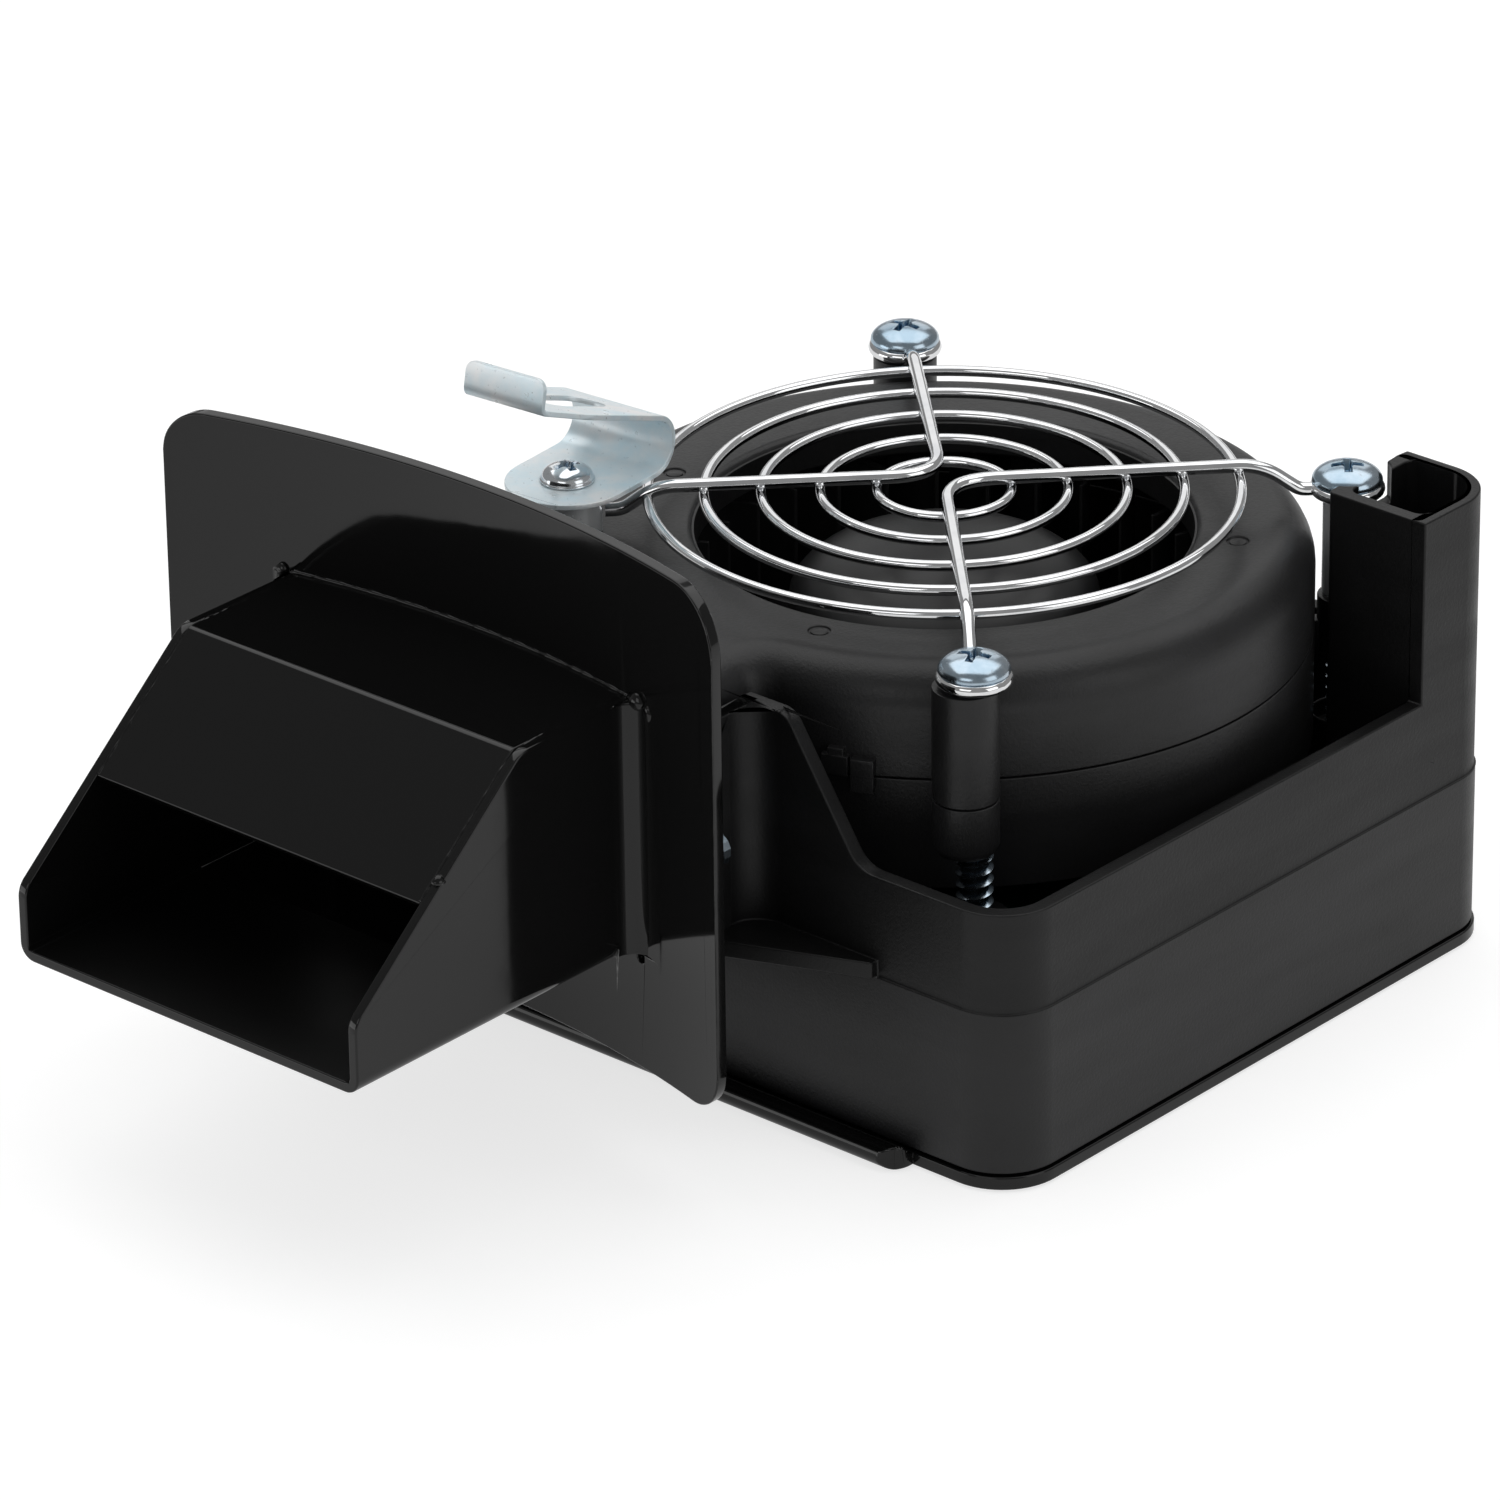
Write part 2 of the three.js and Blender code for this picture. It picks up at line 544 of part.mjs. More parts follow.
function impeller() {
  const disc = ring(HUB_RADIUS - 1, WHEEL_RADIUS, 38.4, 40.4, [0, 0], 36);
  const rim = ring(WHEEL_RADIUS - 3, WHEEL_RADIUS, BLADE_Z[1] - 0.3, BLADE_Z[1] + 1.2, [0, 0], 36);
  const skin = 1.6;
  const hub = turned([
    [ROTOR.radius + GAP, 38.4], [HUB_RADIUS + 1.5, 38.4], [HUB_RADIUS + 0.8, 44], [HUB_RADIUS, 56],
    [HUB_RADIUS - 3, 60], [HUB_RADIUS - 9, 62.4], [0, 63.2], [0, ROTOR.top + skin], [3.2, ROTOR.top + skin], [3.2, ROTOR.top + GAP],
    [ROTOR.radius + GAP, ROTOR.top + GAP], [ROTOR.radius + GAP, 38.4],
  ], [0, 0], 28);
  const blade = prismZ(bladeOutline(), BLADE_Z[0], BLADE_Z[1]);
  const blades = [];
  for (let i = 0; i < BLADE_COUNT; i += 1) blades.push(blade.rotate([0, 0, (360 / BLADE_COUNT) * i]));
  return join(hub, disc, rim, ...blades);
}

function rotorCup() {
  const { radius, wall, z0, top } = ROTOR;
  const shell = turned([
    [radius - wall, z0], [radius, z0], [radius, top], [2.9, top], [2.9, top + 1], [0, top + 1], [0, top - 3.5],
    [2.9, top - 3.5], [2.9, top - wall], [radius - wall, top - wall], [radius - wall, z0],
  ], [0, 0], 28);
  return cut(shell, rod(SHAFT_RADIUS + 0.2, 50, 58, [0, 0], 16));
}

function statorCore() {
  const poles = [];
  for (let i = 0; i < POLE_COUNT; i += 1) {
    const rim = ring(STATOR_RADIUS - 2, STATOR_RADIUS, 44, 52, [0, 0], 28);
    const shoe = rim.intersect(box(5, 20, -8.6, 8.6, 40, 60));
    const neck = box(8, STATOR_RADIUS - 1, -2.2, 2.2, 44, 52);
    poles.push(join(shoe, neck).rotate([0, 0, 45 + 90 * i]));
  }
  return join(ring(TUBE_RADIUS + 0.2, 8.6, 44, 52, [0, 0], 24), ...poles);
}

function coil(i) {
  const loop = cut(box(9.2, 12.1, -4.9, 4.9, 41.6, 54.4), box(8, 14, -2.5, 2.5, 43.7, 52.3));
  return loop.rotate([0, 0, 45 + 90 * i]);
}

function bearing(z0) {
  return ring(BEARING.bore, BEARING.outer, z0, z0 + BEARING.height, [0, 0], 24);
}

function shaftCirclip() {
  return cut(ring(1.7, 3.2, 34.2, 34.8, [0, 0], 24), box(0, 4, -0.8, 0.8, 30, 40));
}

// ---------------------------------------------------------------- electronics in the box
const BOARD_Z = 16;
const BOARD_TOP = BOARD_Z + 1.6;
const BOARD_POSTS = [[-34, -24], [26, -24], [-34, 24], [26, 24]];
const MOTOR_LEAD_AT = [10.5, 0];

function circuitBoard() {
  const sheet = prismZ(roundedRect(-39, 31, -29, 29, 2), BOARD_Z, BOARD_TOP, 3);
  return cut(sheet, ...BOARD_POSTS.map((at) => rod(1.6, 10, 20, at, 10)));
}

function transformerBlock() {
  const z0 = BOARD_TOP + GAP;
  const core = cut(box(-33, -11, -18, 10, z0, z0 + 9), box(-30, -14, -20, -16, z0 + 2, z0 + 7));
  return join(core, box(-29, -15, -20.5, 12.5, z0 + 2.5, z0 + 6.5));
}

function capacitor() {
  const z0 = BOARD_TOP + GAP;
  const can = [[0, z0], [5.2, z0], [5.2, z0 + 11.2], [4.6, z0 + 12], [4.2, z0 + 11.7], [0, z0 + 11.7]];
  return turned(can, [18, -16], 20);
}

function motorLead() {
  const [x, y] = MOTOR_LEAD_AT;
  const drop = [V3(x, y, 40.6), V3(x, y, 25)];
  const points = [...drop, V3(x - 2, y + 6, BOARD_TOP + 2.4), V3(x - 2, y + 14, BOARD_TOP + 1.6)];
  return wire(points, 1.2, 3, 14);
}

const SOCKET = { x0: 46.4, x1: 56.4, y0: 36.6, y1: 49, z0: 30, z1: 46 };

function powerLead() {
  const x = (SOCKET.x0 + SOCKET.x1) / 2;
  const y = (SOCKET.y0 + SOCKET.y1) / 2;
  const onBoard = [V3(23, 12, BOARD_TOP + 2.6), V3(33.5, 12, BOARD_TOP + 2.6)];
  const alongFloor = [V3(45, 28, 12), V3(x - 1, 33, 10.5)];
  const rise = [V3(x, y, 12), V3(x, y, SOCKET.z0 - GAP)];
  return wire([...onBoard, ...alongFloor, ...rise], 2, 6, 22);
}

function socket() {
  const { x0, x1, y0, y1, z0, z1 } = SOCKET;
  const wall = 1.4;
  const mouth = box(x0 + wall, x1 - wall, y0 + wall, y1 - wall, z0 + 6, z1 + 1);
  const shell = cut(prismZ(roundedRect(x0, x1, y0, y1, 1.9), z0, z1), mouth);
  const x = (x0 + x1) / 2;
  const half = 0.6;
  const pins = [-3, 0, 3].map((offset) => {
    const y = (y0 + y1) / 2 + offset;
    return box(x - half, x + half, y - half, y + half, z0 + 5, z1 - 3);
  });
  return join(shell, ...pins);
}

// ---------------------------------------------------------------- guard, screws and sleeves
// One S-shaped spoke: in from one fixing, round the corner near the centre, out to another. `reach` is how far
// from each fixing's axis the wire ends.
function spoke(from, corner, to) {
  const leg = (fixing) => {
    const along = V2(fixing.at[0] - corner[0], fixing.at[1] - corner[1]);
    const length = along.length();
    along.normalize();
    const point = (distance, z) => V3(corner[0] + along.x * distance, corner[1] + along.y * distance, z);
    const end = length - fixing.reach;
    return [point(end, fixing.z), point(end - 2.6, fixing.z), point(length - 13.4, SPOKE_Z)];
  };
  return wire([...leg(from), V3(corner[0], corner[1], SPOKE_Z), ...leg(to).reverse()], SPOKE_WIRE, 4.2, 54);
}

function fingerGuard() {
  const facets = (radius) => 14 + 4 * Math.round(radius / 5);
  const rings = RING_RADII.map((radius) => hoop(radius, RING_WIRE, RING_Z, [0, 0], facets(radius), 6));
  const loops = [FRONT, BACK, RIGHT].map((at) => hoop(EYELET_RADIUS, SPOKE_WIRE, EYELET_Z, at, 14, 6));
  const eyelet = (at) => ({ at, z: EYELET_Z, reach: EYELET_RADIUS });
  const besideClip = { at: CLIP, z: CLIP_WIRE_Z, reach: CLIP_SLEEVE + GAP };
  const backToClip = spoke(eyelet(BACK), [-1.4, 1.1], besideClip);
  const rightToFront = spoke(eyelet(RIGHT), [0.2, -0.3], eyelet(FRONT));
  return join(...rings, ...loops, backToClip, rightToFront);
}

function crossRecess(at, z, reach, depth) {
  const arm = box(-reach, reach, -0.55, 0.55, z - depth, z + 3);
  return join(arm, arm.rotate([0, 0, 90])).rotate([0, 0, 24]).translate([at[0], at[1], 0]);
}

// Truss-head screw: the head sits on the eyelet, the thread shows between the lower boss and the pillar.
function trussScrew(at, threadTop) {
  const seat = EYELET_Z + SPOKE_WIRE + 0.1;
  const shank = 2.05;
  const crest = 2.4;
  const pitch = 1.6;
  const tip = 27;
  const points = [[0, tip], [1.2, tip], [shank, tip + 1.5]];
  for (let z = threadTop - 5 * pitch; z < threadTop - 0.1; z += pitch) {
    points.push([shank, z], [crest, z + pitch / 2]);
  }
  points.push([shank, threadTop + 0.2], [shank, seat], [HEAD_RADIUS, seat], [HEAD_RADIUS, seat + 0.5]);
  points.push([HEAD_RADIUS * 0.84, seat + 1.6], [HEAD_RADIUS * 0.53, seat + 2.4], [0, seat + 2.75]);
  return cut(turned(points, at, 12), crossRecess(at, seat + 2.6, 2.3, 1.5));
}

function clipScrew() {
  const seat = CLIP_Z + STRIP.thickness / 2 + 0.1;
  const points = [
    [0, 58], [0.8, 58], [1.9, 59.5], [1.9, seat], [4, seat], [4, seat + 0.5],
    [3.8, seat + 0.6], [3.7, seat + 1.3], [3, seat + 2], [1.7, seat + 2.4], [0, seat + 2.5],
  ];
  return cut(turned(points, CLIP, 20), crossRecess(CLIP, seat + 2.4, 2, 1.3));
}

function sleeve(at, outer, bore, z0, z1) {
  return ring(bore, outer, z0, z1, at, 18);
}

// ---------------------------------------------------------------- spring clip
function stripShape(path) {
  const half = STRIP.thickness / 2;
  const left = [];
  const right = [];
  path.forEach((point, i) => {
    const before = path[Math.max(i - 1, 0)];
    const after = path[Math.min(i + 1, path.length - 1)];
    const normal = V2(after.y - before.y, before.x - after.x).normalize();
    left.push([point.x + normal.x * half, point.y + normal.y * half]);
    right.unshift([point.x - normal.x * half, point.y - normal.y * half]);
  });
  return polygon([...left, ...right]);
}

const CLIP_SPLIT = THREE.MathUtils.degToRad(-8); // bearing on the C-bend where foot and arm meet

function bendPoint(angle) {
  const { y, radius } = CLIP_BEND;
  return V2(y + radius * Math.cos(angle), CLIP_Z + radius * (1 + Math.sin(angle)));
}

// Turns a piece of the clip on its screw.
function turnOnScrew(body) {
  return body.translate([-CLIP[0], -CLIP[1], 0]).rotate([0, 0, CLIP_TURN]).translate([CLIP[0], CLIP[1], 0]);
}

function clipFoot() {
  const centreX = (STRIP.x0 + STRIP.x1) / 2;
  const half = (STRIP.x1 - STRIP.x0) / 2;
  const path = [V2(-60, CLIP_Z), V2(CLIP_BEND.y, CLIP_Z)];
  for (let i = 1; i <= 6; i += 1) path.push(bendPoint(THREE.MathUtils.lerp(-Math.PI / 2, CLIP_SPLIT, i / 6)));
  const strip = prismX(stripShape(path), STRIP.x0, STRIP.x1);
  const plan = new THREE.Shape();
  plan.moveTo(STRIP.x1, -20);
  plan.lineTo(STRIP.x0, -20);
  plan.absarc(centreX, CLIP[1], half, Math.PI, 2 * Math.PI);
  return turnOnScrew(cut(strip.intersect(prismZ(plan, 70, 90, 6)), rod(2.3, 70, 80, CLIP, 16)));
}

function clipArm() {
  const start = CLIP_SPLIT + GAP / CLIP_BEND.radius;
  const end = Math.PI / 2 - LEAF_ANGLE;
  const path = [];
  for (let i = 0; i <= 6; i += 1) path.push(bendPoint(THREE.MathUtils.lerp(start, end, i / 6)));
  const leafWay = V2(-Math.cos(LEAF_ANGLE), Math.sin(LEAF_ANGLE));
  const leafEnd = path[6].clone().addScaledVector(leafWay, LEAF_LENGTH);
  path.push(leafEnd);
  path.push(leafEnd.clone().add(V2(Math.sin(TAB_LEAN), Math.cos(TAB_LEAN)).multiplyScalar(TAB_LENGTH)));
  const tab = [STRIP.x0 + TAB_INSET, STRIP.x1 - TAB_INSET];
  const taperY = leafEnd.x + LEAF_TAPER * Math.cos(LEAF_ANGLE);
  const plan = polygon([
    [STRIP.x0, -20], [STRIP.x0, taperY], [tab[0], leafEnd.x + 1], [tab[0], -60],
    [tab[1], -60], [tab[1], leafEnd.x + 1], [STRIP.x1, taperY], [STRIP.x1, -20],
  ]);
  const strip = prismX(stripShape(path), STRIP.x0, STRIP.x1).intersect(prismZ(plan, 70, 110));
  const slot = roundedRect(-42.4, -35.6, -44.5, -30.6, 3.3);
  const topZ = leafEnd.y + TAB_LENGTH;
  const corner = (x, inward) => {
    const centreX = x + inward * 1.8;
    const piece = box(Math.min(x - inward, centreX), Math.max(x - inward, centreX), -60, -40, topZ - 2, topZ + 1);
    return cut(piece, alongY(rod(1.8, 30, 70, [0, 0], 16), centreX, topZ - 2));
  };
  return turnOnScrew(cut(strip, prismZ(slot, 80, 100, 5), corner(tab[0], 1), corner(tab[1], -1)));
}

// ---------------------------------------------------------------- curved plate and snout
function plateBand(front, back, z0, z1) {
  const half = Math.asin((PLATE.halfWidth + 2) / PLATE.front);
  const band = new THREE.Shape();
  band.absarc(PLATE.cx, PLATE.cy, back, Math.PI / 2 - half, Math.PI / 2 + half);
  band.absarc(PLATE.cx, PLATE.cy, front, Math.PI / 2 + half, Math.PI / 2 - half, true);
  return prismZ(band, z0, z1, 10);
}

// Side view of a snout side wall, from the curved plate to the mouth.
function sideWall(x0, x1) {
  const { z1, frontY, bendY, lipZ } = SNOUT;
  const outline = new THREE.Shape();
  outline.moveTo(-78, WALL_FOOT);
  outline.lineTo(frontY, WALL_FOOT);
  outline.lineTo(frontY, lipZ - 2);
  outline.quadraticCurveTo(frontY, lipZ, frontY + 1.6, lipZ + 1.35);
  outline.lineTo(bendY - 2.4, z1 - 2);
  outline.quadraticCurveTo(bendY, z1, bendY + 3, z1);
  outline.lineTo(-78, z1);
  return prismX(outline, x0, x1, 4);
}

function plateSurfaceY(x, radius) {
  return PLATE.cy + Math.sqrt(radius ** 2 - (x - PLATE.cx) ** 2);
}

// Rounded inside corner where a side wall turns into the plate; `side` is +1 on the right.
function bendFillet(side) {
  const wallX = side > 0 ? SNOUT.x1 : SNOUT.x0;
  const y = plateSurfaceY(wallX + side * BEND_FILLET, PLATE.front);
  const centre = [wallX + side * BEND_FILLET, y - BEND_FILLET];
  const x0 = Math.min(wallX - side, centre[0]);
  const x1 = Math.max(wallX - side, centre[0]);
  const block = box(x0, x1, centre[1], y + 1.8, WALL_FOOT, SNOUT.z1);
  return cut(block, rod(BEND_FILLET, SNOUT.z0 - 1, SNOUT.z1 + 1, centre, 24));
}

function flangePlate() {
  const { cx, halfWidth, z0, z1, corner, front, back } = PLATE;
  const window = roundedRect(cx - halfWidth, cx + halfWidth, z0, z1, corner);
  const plate = plateBand(front, back, z0, z1).intersect(prismY(window, -120, -60, 6));
  const opening = box(SNOUT.x0 + SHEET, SNOUT.x1 - SHEET, -110, -60, SNOUT.z0 - GAP, SNOUT.z1 + GAP);
  const walls = join(sideWall(SNOUT.x0, SNOUT.x0 + SHEET), sideWall(SNOUT.x1 - SHEET, SNOUT.x1));
  const trimmed = cut(walls, cut(box(-90, 50, -90, -60, 0, 99), rod(back - 0.5, 0, 100, [cx, PLATE.cy], 180)));
  const bosses = EAR_SCREWS.map((x) => {
    const backY = plateSurfaceY(x, back);
    return cut(
      alongY(rod(2.6, -EAR.y0 + GAP, -backY + 1, [0, 0], 16), x, 45),
      alongY(rod(1.6, -EAR.y0 - 1, -backY - 0.6, [0, 0], 12), x, 45),
    );
  });
  return join(cut(plate, opening), trimmed, bendFillet(1), bendFillet(-1), ...bosses);
}

function plateScrew(x) {
  const headY = -EAR.y1 - GAP;
  const head = [[0, headY - 2], [2, headY - 2], [2.6, headY - 1.4], [2.6, headY]];
  const shank = [[1.3, headY], [1.3, headY + 6.4], [0, headY + 6.8]];
  return alongY(turned([...head, ...shank], [0, 0], 14), x, 45);
}

function snoutTop() {
  const { x0, x1, z1, bendY, mouthY, frontY, lipZ } = SNOUT;
  const slope = V2(bendY - frontY, z1 - lipZ).normalize();
  const down = V2(slope.y, -slope.x).multiplyScalar(SHEET);
  const outline = new THREE.Shape();
  const mouth = V2(mouthY, z1 - ((bendY - mouthY) * slope.y) / slope.x);
  outline.moveTo(mouth.x, mouth.y);
  outline.lineTo(mouth.x + down.x, mouth.y + down.y);
  outline.lineTo(bendY + 0.7, z1 - SHEET);
  outline.lineTo(-70, z1 - SHEET);
  outline.lineTo(-70, z1);
  outline.lineTo(bendY + 3, z1);
  outline.quadraticCurveTo(bendY, z1, bendY - 2.4 * slope.x, z1 - 2.4 * slope.y);
  const sheet = prismX(outline, x0 + SHEET + GAP, x1 - SHEET - GAP, 4);
  return sheet.intersect(rod(PLATE.back, 20, 99, [PLATE.cx, PLATE.cy], 180));
}

// Bottom sheet with both long edges turned up to meet the side walls.
function snoutBottom() {
  const { x0, x1, z0, frontY, bend } = SNOUT;
  const outer = prismY(roundedRect(x0, x1, z0, z0 + 12, bend), frontY, -70, 6);
  const hollow = roundedRect(x0 + SHEET, x1 - SHEET, z0 + SHEET, z0 + 14, bend - SHEET);
  const inner = prismY(hollow, frontY - 1, -69, 3);
  const sheet = cut(outer, inner).intersect(box(x0 - 1, x1 + 1, frontY - 1, -60, z0 - 1, z0 + bend));
  return sheet.intersect(rod(PLATE.front - GAP, 20, 99, [PLATE.cx, PLATE.cy], 180));
}

// ---------------------------------------------------------------- assembly
addPiece('base_plate', basePlate(), 'black_sheet');
addPiece('box_housing', boxHousing(), 'box_plastic');
addPiece('blower_lower', blowerLower(), 'blower_plastic');
addPiece('blower_cover', blowerCover(), 'blower_plastic');

addPiece('impeller', impeller(), 'wheel_plastic');
addPiece('rotor_cup', rotorCup(), 'rotor_steel');
addPiece('magnet_ring', ring(MAGNET.inner, MAGNET.outer, MAGNET.z0, MAGNET.z1, [0, 0], 28), 'magnet');
addPiece('motor_shaft', rod(SHAFT_RADIUS, 33.6, 57.6, [0, 0], 24), 'bearing_steel');
addPiece('shaft_circlip', shaftCirclip(), 'rotor_steel');
addPiece('stator_core', statorCore(), 'lamination');
for (let i = 0; i < POLE_COUNT; i += 1) addPiece(`coil_${i + 1}`, coil(i), 'copper');
addPiece('bearing_lower', bearing(35), 'bearing_steel');
addPiece('bearing_upper', bearing(49.9), 'bearing_steel');

addPiece('circuit_board', circuitBoard(), 'board');
addPiece('transformer_block', transformerBlock(), 'component');
addPiece('capacitor', capacitor(), 'component');
addPiece('motor_lead', motorLead(), 'cable_rubber');
addPiece('power_lead', powerLead(), 'cable_rubber');
addPiece('power_socket', socket(), 'socket_nylon');

addPiece('finger_guard', fingerGuard(), 'chrome_wire');
addPiece('screw_front', trussScrew(FRONT, BOSS_FOOT - 0.4), 'zinc');
addPiece('screw_back', trussScrew(BACK, BOSS_FOOT - 0.4), 'zinc');
addPiece('screw_right', trussScrew(RIGHT, BOSS_FOOT - 0.4), 'zinc');
addPiece('clip_screw', clipScrew(), 'zinc');
addPiece('sleeve_right', sleeve(RIGHT, 3.5, 2.35, 51.5, EYELET_Z - SPOKE_WIRE - 0.1), 'zinc');
const underStrip = CLIP_Z - STRIP.thickness / 2 - 0.1;
addPiece('sleeve_clip', sleeve(CLIP, CLIP_SLEEVE, 2.3, BLOWER_TOP + 0.1, underStrip), 'zinc');
addPiece('spring_clip_foot', clipFoot(), 'zinc');
addPiece('spring_clip_arm', clipArm(), 'zinc');

addPiece('flange_plate', flangePlate(), 'black_sheet');
addPiece('snout_top', snoutTop(), 'black_sheet');
addPiece('snout_bottom', snoutBottom(), 'black_sheet');
addPiece('plate_screw_right', plateScrew(EAR_SCREWS[0]), 'zinc');
addPiece('plate_screw_left', plateScrew(EAR_SCREWS[1]), 'zinc');
BASE_SCREWS.forEach((at, i) => addPiece(`base_screw_${i + 1}`, baseScrew(at), 'zinc'));

export default fan;
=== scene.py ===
from math import acos, asin, atan2, cos, pi, radians, sin, sqrt, tan

import bmesh
import bpy
from mathutils import Matrix, Vector

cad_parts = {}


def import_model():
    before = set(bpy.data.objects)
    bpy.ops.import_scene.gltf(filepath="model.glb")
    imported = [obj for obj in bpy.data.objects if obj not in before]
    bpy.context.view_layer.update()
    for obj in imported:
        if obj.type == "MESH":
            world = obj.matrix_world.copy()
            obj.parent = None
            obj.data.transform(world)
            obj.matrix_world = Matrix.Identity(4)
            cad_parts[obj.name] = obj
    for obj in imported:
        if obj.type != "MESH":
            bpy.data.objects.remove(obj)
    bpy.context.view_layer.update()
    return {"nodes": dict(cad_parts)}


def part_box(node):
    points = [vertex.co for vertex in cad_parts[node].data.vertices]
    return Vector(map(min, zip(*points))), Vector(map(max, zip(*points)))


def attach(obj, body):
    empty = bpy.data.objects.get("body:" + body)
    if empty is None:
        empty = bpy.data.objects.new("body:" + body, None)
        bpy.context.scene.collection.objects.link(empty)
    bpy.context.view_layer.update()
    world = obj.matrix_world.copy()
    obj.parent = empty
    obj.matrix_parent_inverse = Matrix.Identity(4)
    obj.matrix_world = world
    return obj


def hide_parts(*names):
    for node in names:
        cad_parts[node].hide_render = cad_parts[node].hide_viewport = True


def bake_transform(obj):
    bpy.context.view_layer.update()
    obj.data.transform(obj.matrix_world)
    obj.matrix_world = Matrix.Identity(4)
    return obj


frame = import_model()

MM = 0.001


def box_mm(node):
    """Lowest and highest corner of a CAD node, in millimetres."""
    low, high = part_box(node)
    return low / MM, high / MM


def centre_mm(node):
    low, high = box_mm(node)
    return (low + high) / 2


# ---- places taken from the CAD frame
BOX_LOW, BOX_HIGH = box_mm("box_housing")
BASE_LOW, BASE_HIGH = box_mm("base_plate")
COVER_LOW = box_mm("blower_cover")[0]
LOWER_LOW = box_mm("blower_lower")[0]
PLATE_LOW, PLATE_HIGH = box_mm("flange_plate")
TOP_LOW, TOP_HIGH = box_mm("snout_top")
BOTTOM_LOW, BOTTOM_HIGH = box_mm("snout_bottom")
FOOT_LOW = box_mm("spring_clip_foot")[0]
WHEEL_TOP = box_mm("impeller")[1].z
FRONT = centre_mm("screw_front")
BACK = centre_mm("screw_back")
RIGHT = centre_mm("screw_right")
CLIP = centre_mm("clip_screw")

# ---- shape values, in millimetres
LIP = 0.4  # the base stands this far outside the box
BOX_LEFT = BASE_LOW.x + LIP
BOX_RIGHT = BASE_HIGH.x - LIP
BOX_BACK = BASE_HIGH.y - LIP - 4.8
BULGE = BASE_HIGH.y - LIP  # the back wall swells to this radius round the drum
BOX_FRONT = -58.2
BOX_BOTTOM = BOX_LOW.z
CORNERS = (9.2, 9.0, 5.5, 9.0)  # front right, back right, back left, front left
WALL = 2.5
SEAM_Z = 27.2
SEAM_STEP = 0.2
FLOOR_Z = 4.8
RIM_Z = 42.5
RISER_TOP = BOX_HIGH.z
RISER_X = 43.0
RISER_Y = 34.0
RISER_WALL = 2.3
RISER_OUTER_WALL = 2.15  # the wall shared with the box, from the box outline
RISER_BODY = 1.4  # the riser's tube stays this far inside the box's outline
FOOT_WALL = 2.9  # round the narrower foot of the riser
TROUGH_LEFT = BOX_LOW.x + 5.5
TROUGH_RIGHT = 14.1
TROUGH_FLOOR = 29.7
TROUGH_TOP = 62.5
TROUGH_FILLET = 5.0
TROUGH_BACK = BOX_FRONT + 1.5
TROUGH_REACH = -77.4  # front end of the trough's side walls
GUSSET_END = 36.8  # right end of the shelf that carries on from the trough's floor
EAR_SIZE = 6.5
EAR_X = (TROUGH_LEFT - 5.5, TROUGH_RIGHT - 1)
EAR_Y = (-73.5, -70.5)
EAR_Z = (40, 50)
RAISE_LOW = RIM_Z - 6  # bottom of the zones in which walls rise above the rim
PILLAR = 5.0
PILLAR_TOP = 32.5
FRONT_PILLAR_TOP = 31.5
PILOT = 2.7  # holes for the long screws
SKY = 90  # cutters that open upwards end here, above the whole object

SCROLL_RADIUS = 51.7
SCROLL_GROWTH = 0.85
TONGUE_RADIUS = 4.0
DUCT_LEFT = -51.2
DUCT_RIGHT = 9.4
DUCT_END = COVER_LOW.y
DUCT_TAPER = -60.0
DRUM_TOP = 66.0
DRUM_WALL = 2.0
PARTING_LOW = 49.6
PARTING_HIGH = 49.8
DRUM_FILLET = 6.5
INLET = 36.0
BOSS = 4.75
BOSS_FOOT = 41.4
POST_TOP = 66.7
WEB = 1.2  # half the thickness of a rib between a boss and the drum
MOTOR_TUBE = (4.05, 5.6)
MOTOR_TUBE_TOP = 54
LATCH_BEARING = radians(-64)
PIN_MARKS = [(10.8, -39.9), (37.0, 21.2), (-40.8, -12.5)]
FRONT_POST = Vector((FRONT.x - 0.9, FRONT.y - 0.8))  # the post stands a little off its screw's axis

PLATE_CENTRE = ((PLATE_LOW.x + PLATE_HIGH.x) / 2, -242.7)
PLATE_FRONT = 166.0
PLATE_BACK = 168.0
PLATE_CORNERS = [6.5, 6.5, 9.0, 6.5]  # lower left, lower right, upper right, upper left
SHEET = 1.6
WALL_LEFT = BOTTOM_LOW.x
WALL_RIGHT = BOTTOM_HIGH.x
SNOUT_LOW = BOTTOM_LOW.z
SNOUT_HIGH = TOP_HIGH.z
SNOUT_FRONT = BOTTOM_LOW.y
SNOUT_BEND = -102.0
SNOUT_LIP = 42.0
ROOF_OVERLAP = 0.32  # closes the gap between the roof and each side wall
SHEET_END = -70  # the snout's sheets are drawn to here and then cut to the plate's curve
BEND_FILLET = 3.0
BOTTOM_BEND = 2.5
CURVE_SLACK = 0.03  # a vertex this close to a curved face's radius lies on it


# ---- mesh helpers
def link(name, mesh):
    obj = bpy.data.objects.new(name, mesh)
    bpy.context.scene.collection.objects.link(obj)
    return obj


def from_bmesh(name, bm):
    """A new object, in metres, from a bmesh drawn in millimetres."""
    bmesh.ops.remove_doubles(bm, verts=bm.verts, dist=1e-4)
    bmesh.ops.recalc_face_normals(bm, faces=bm.faces)
    bm.transform(Matrix.Scale(MM, 4))
    mesh = bpy.data.meshes.new(name)
    bm.to_mesh(mesh)
    bm.free()
    return link(name, mesh)


AXES = {
    "Z": lambda u, v, w: (u, v, w),
    "Y": lambda u, v, w: (u, w, v),
    "X": lambda u, v, w: (w, u, v),
}


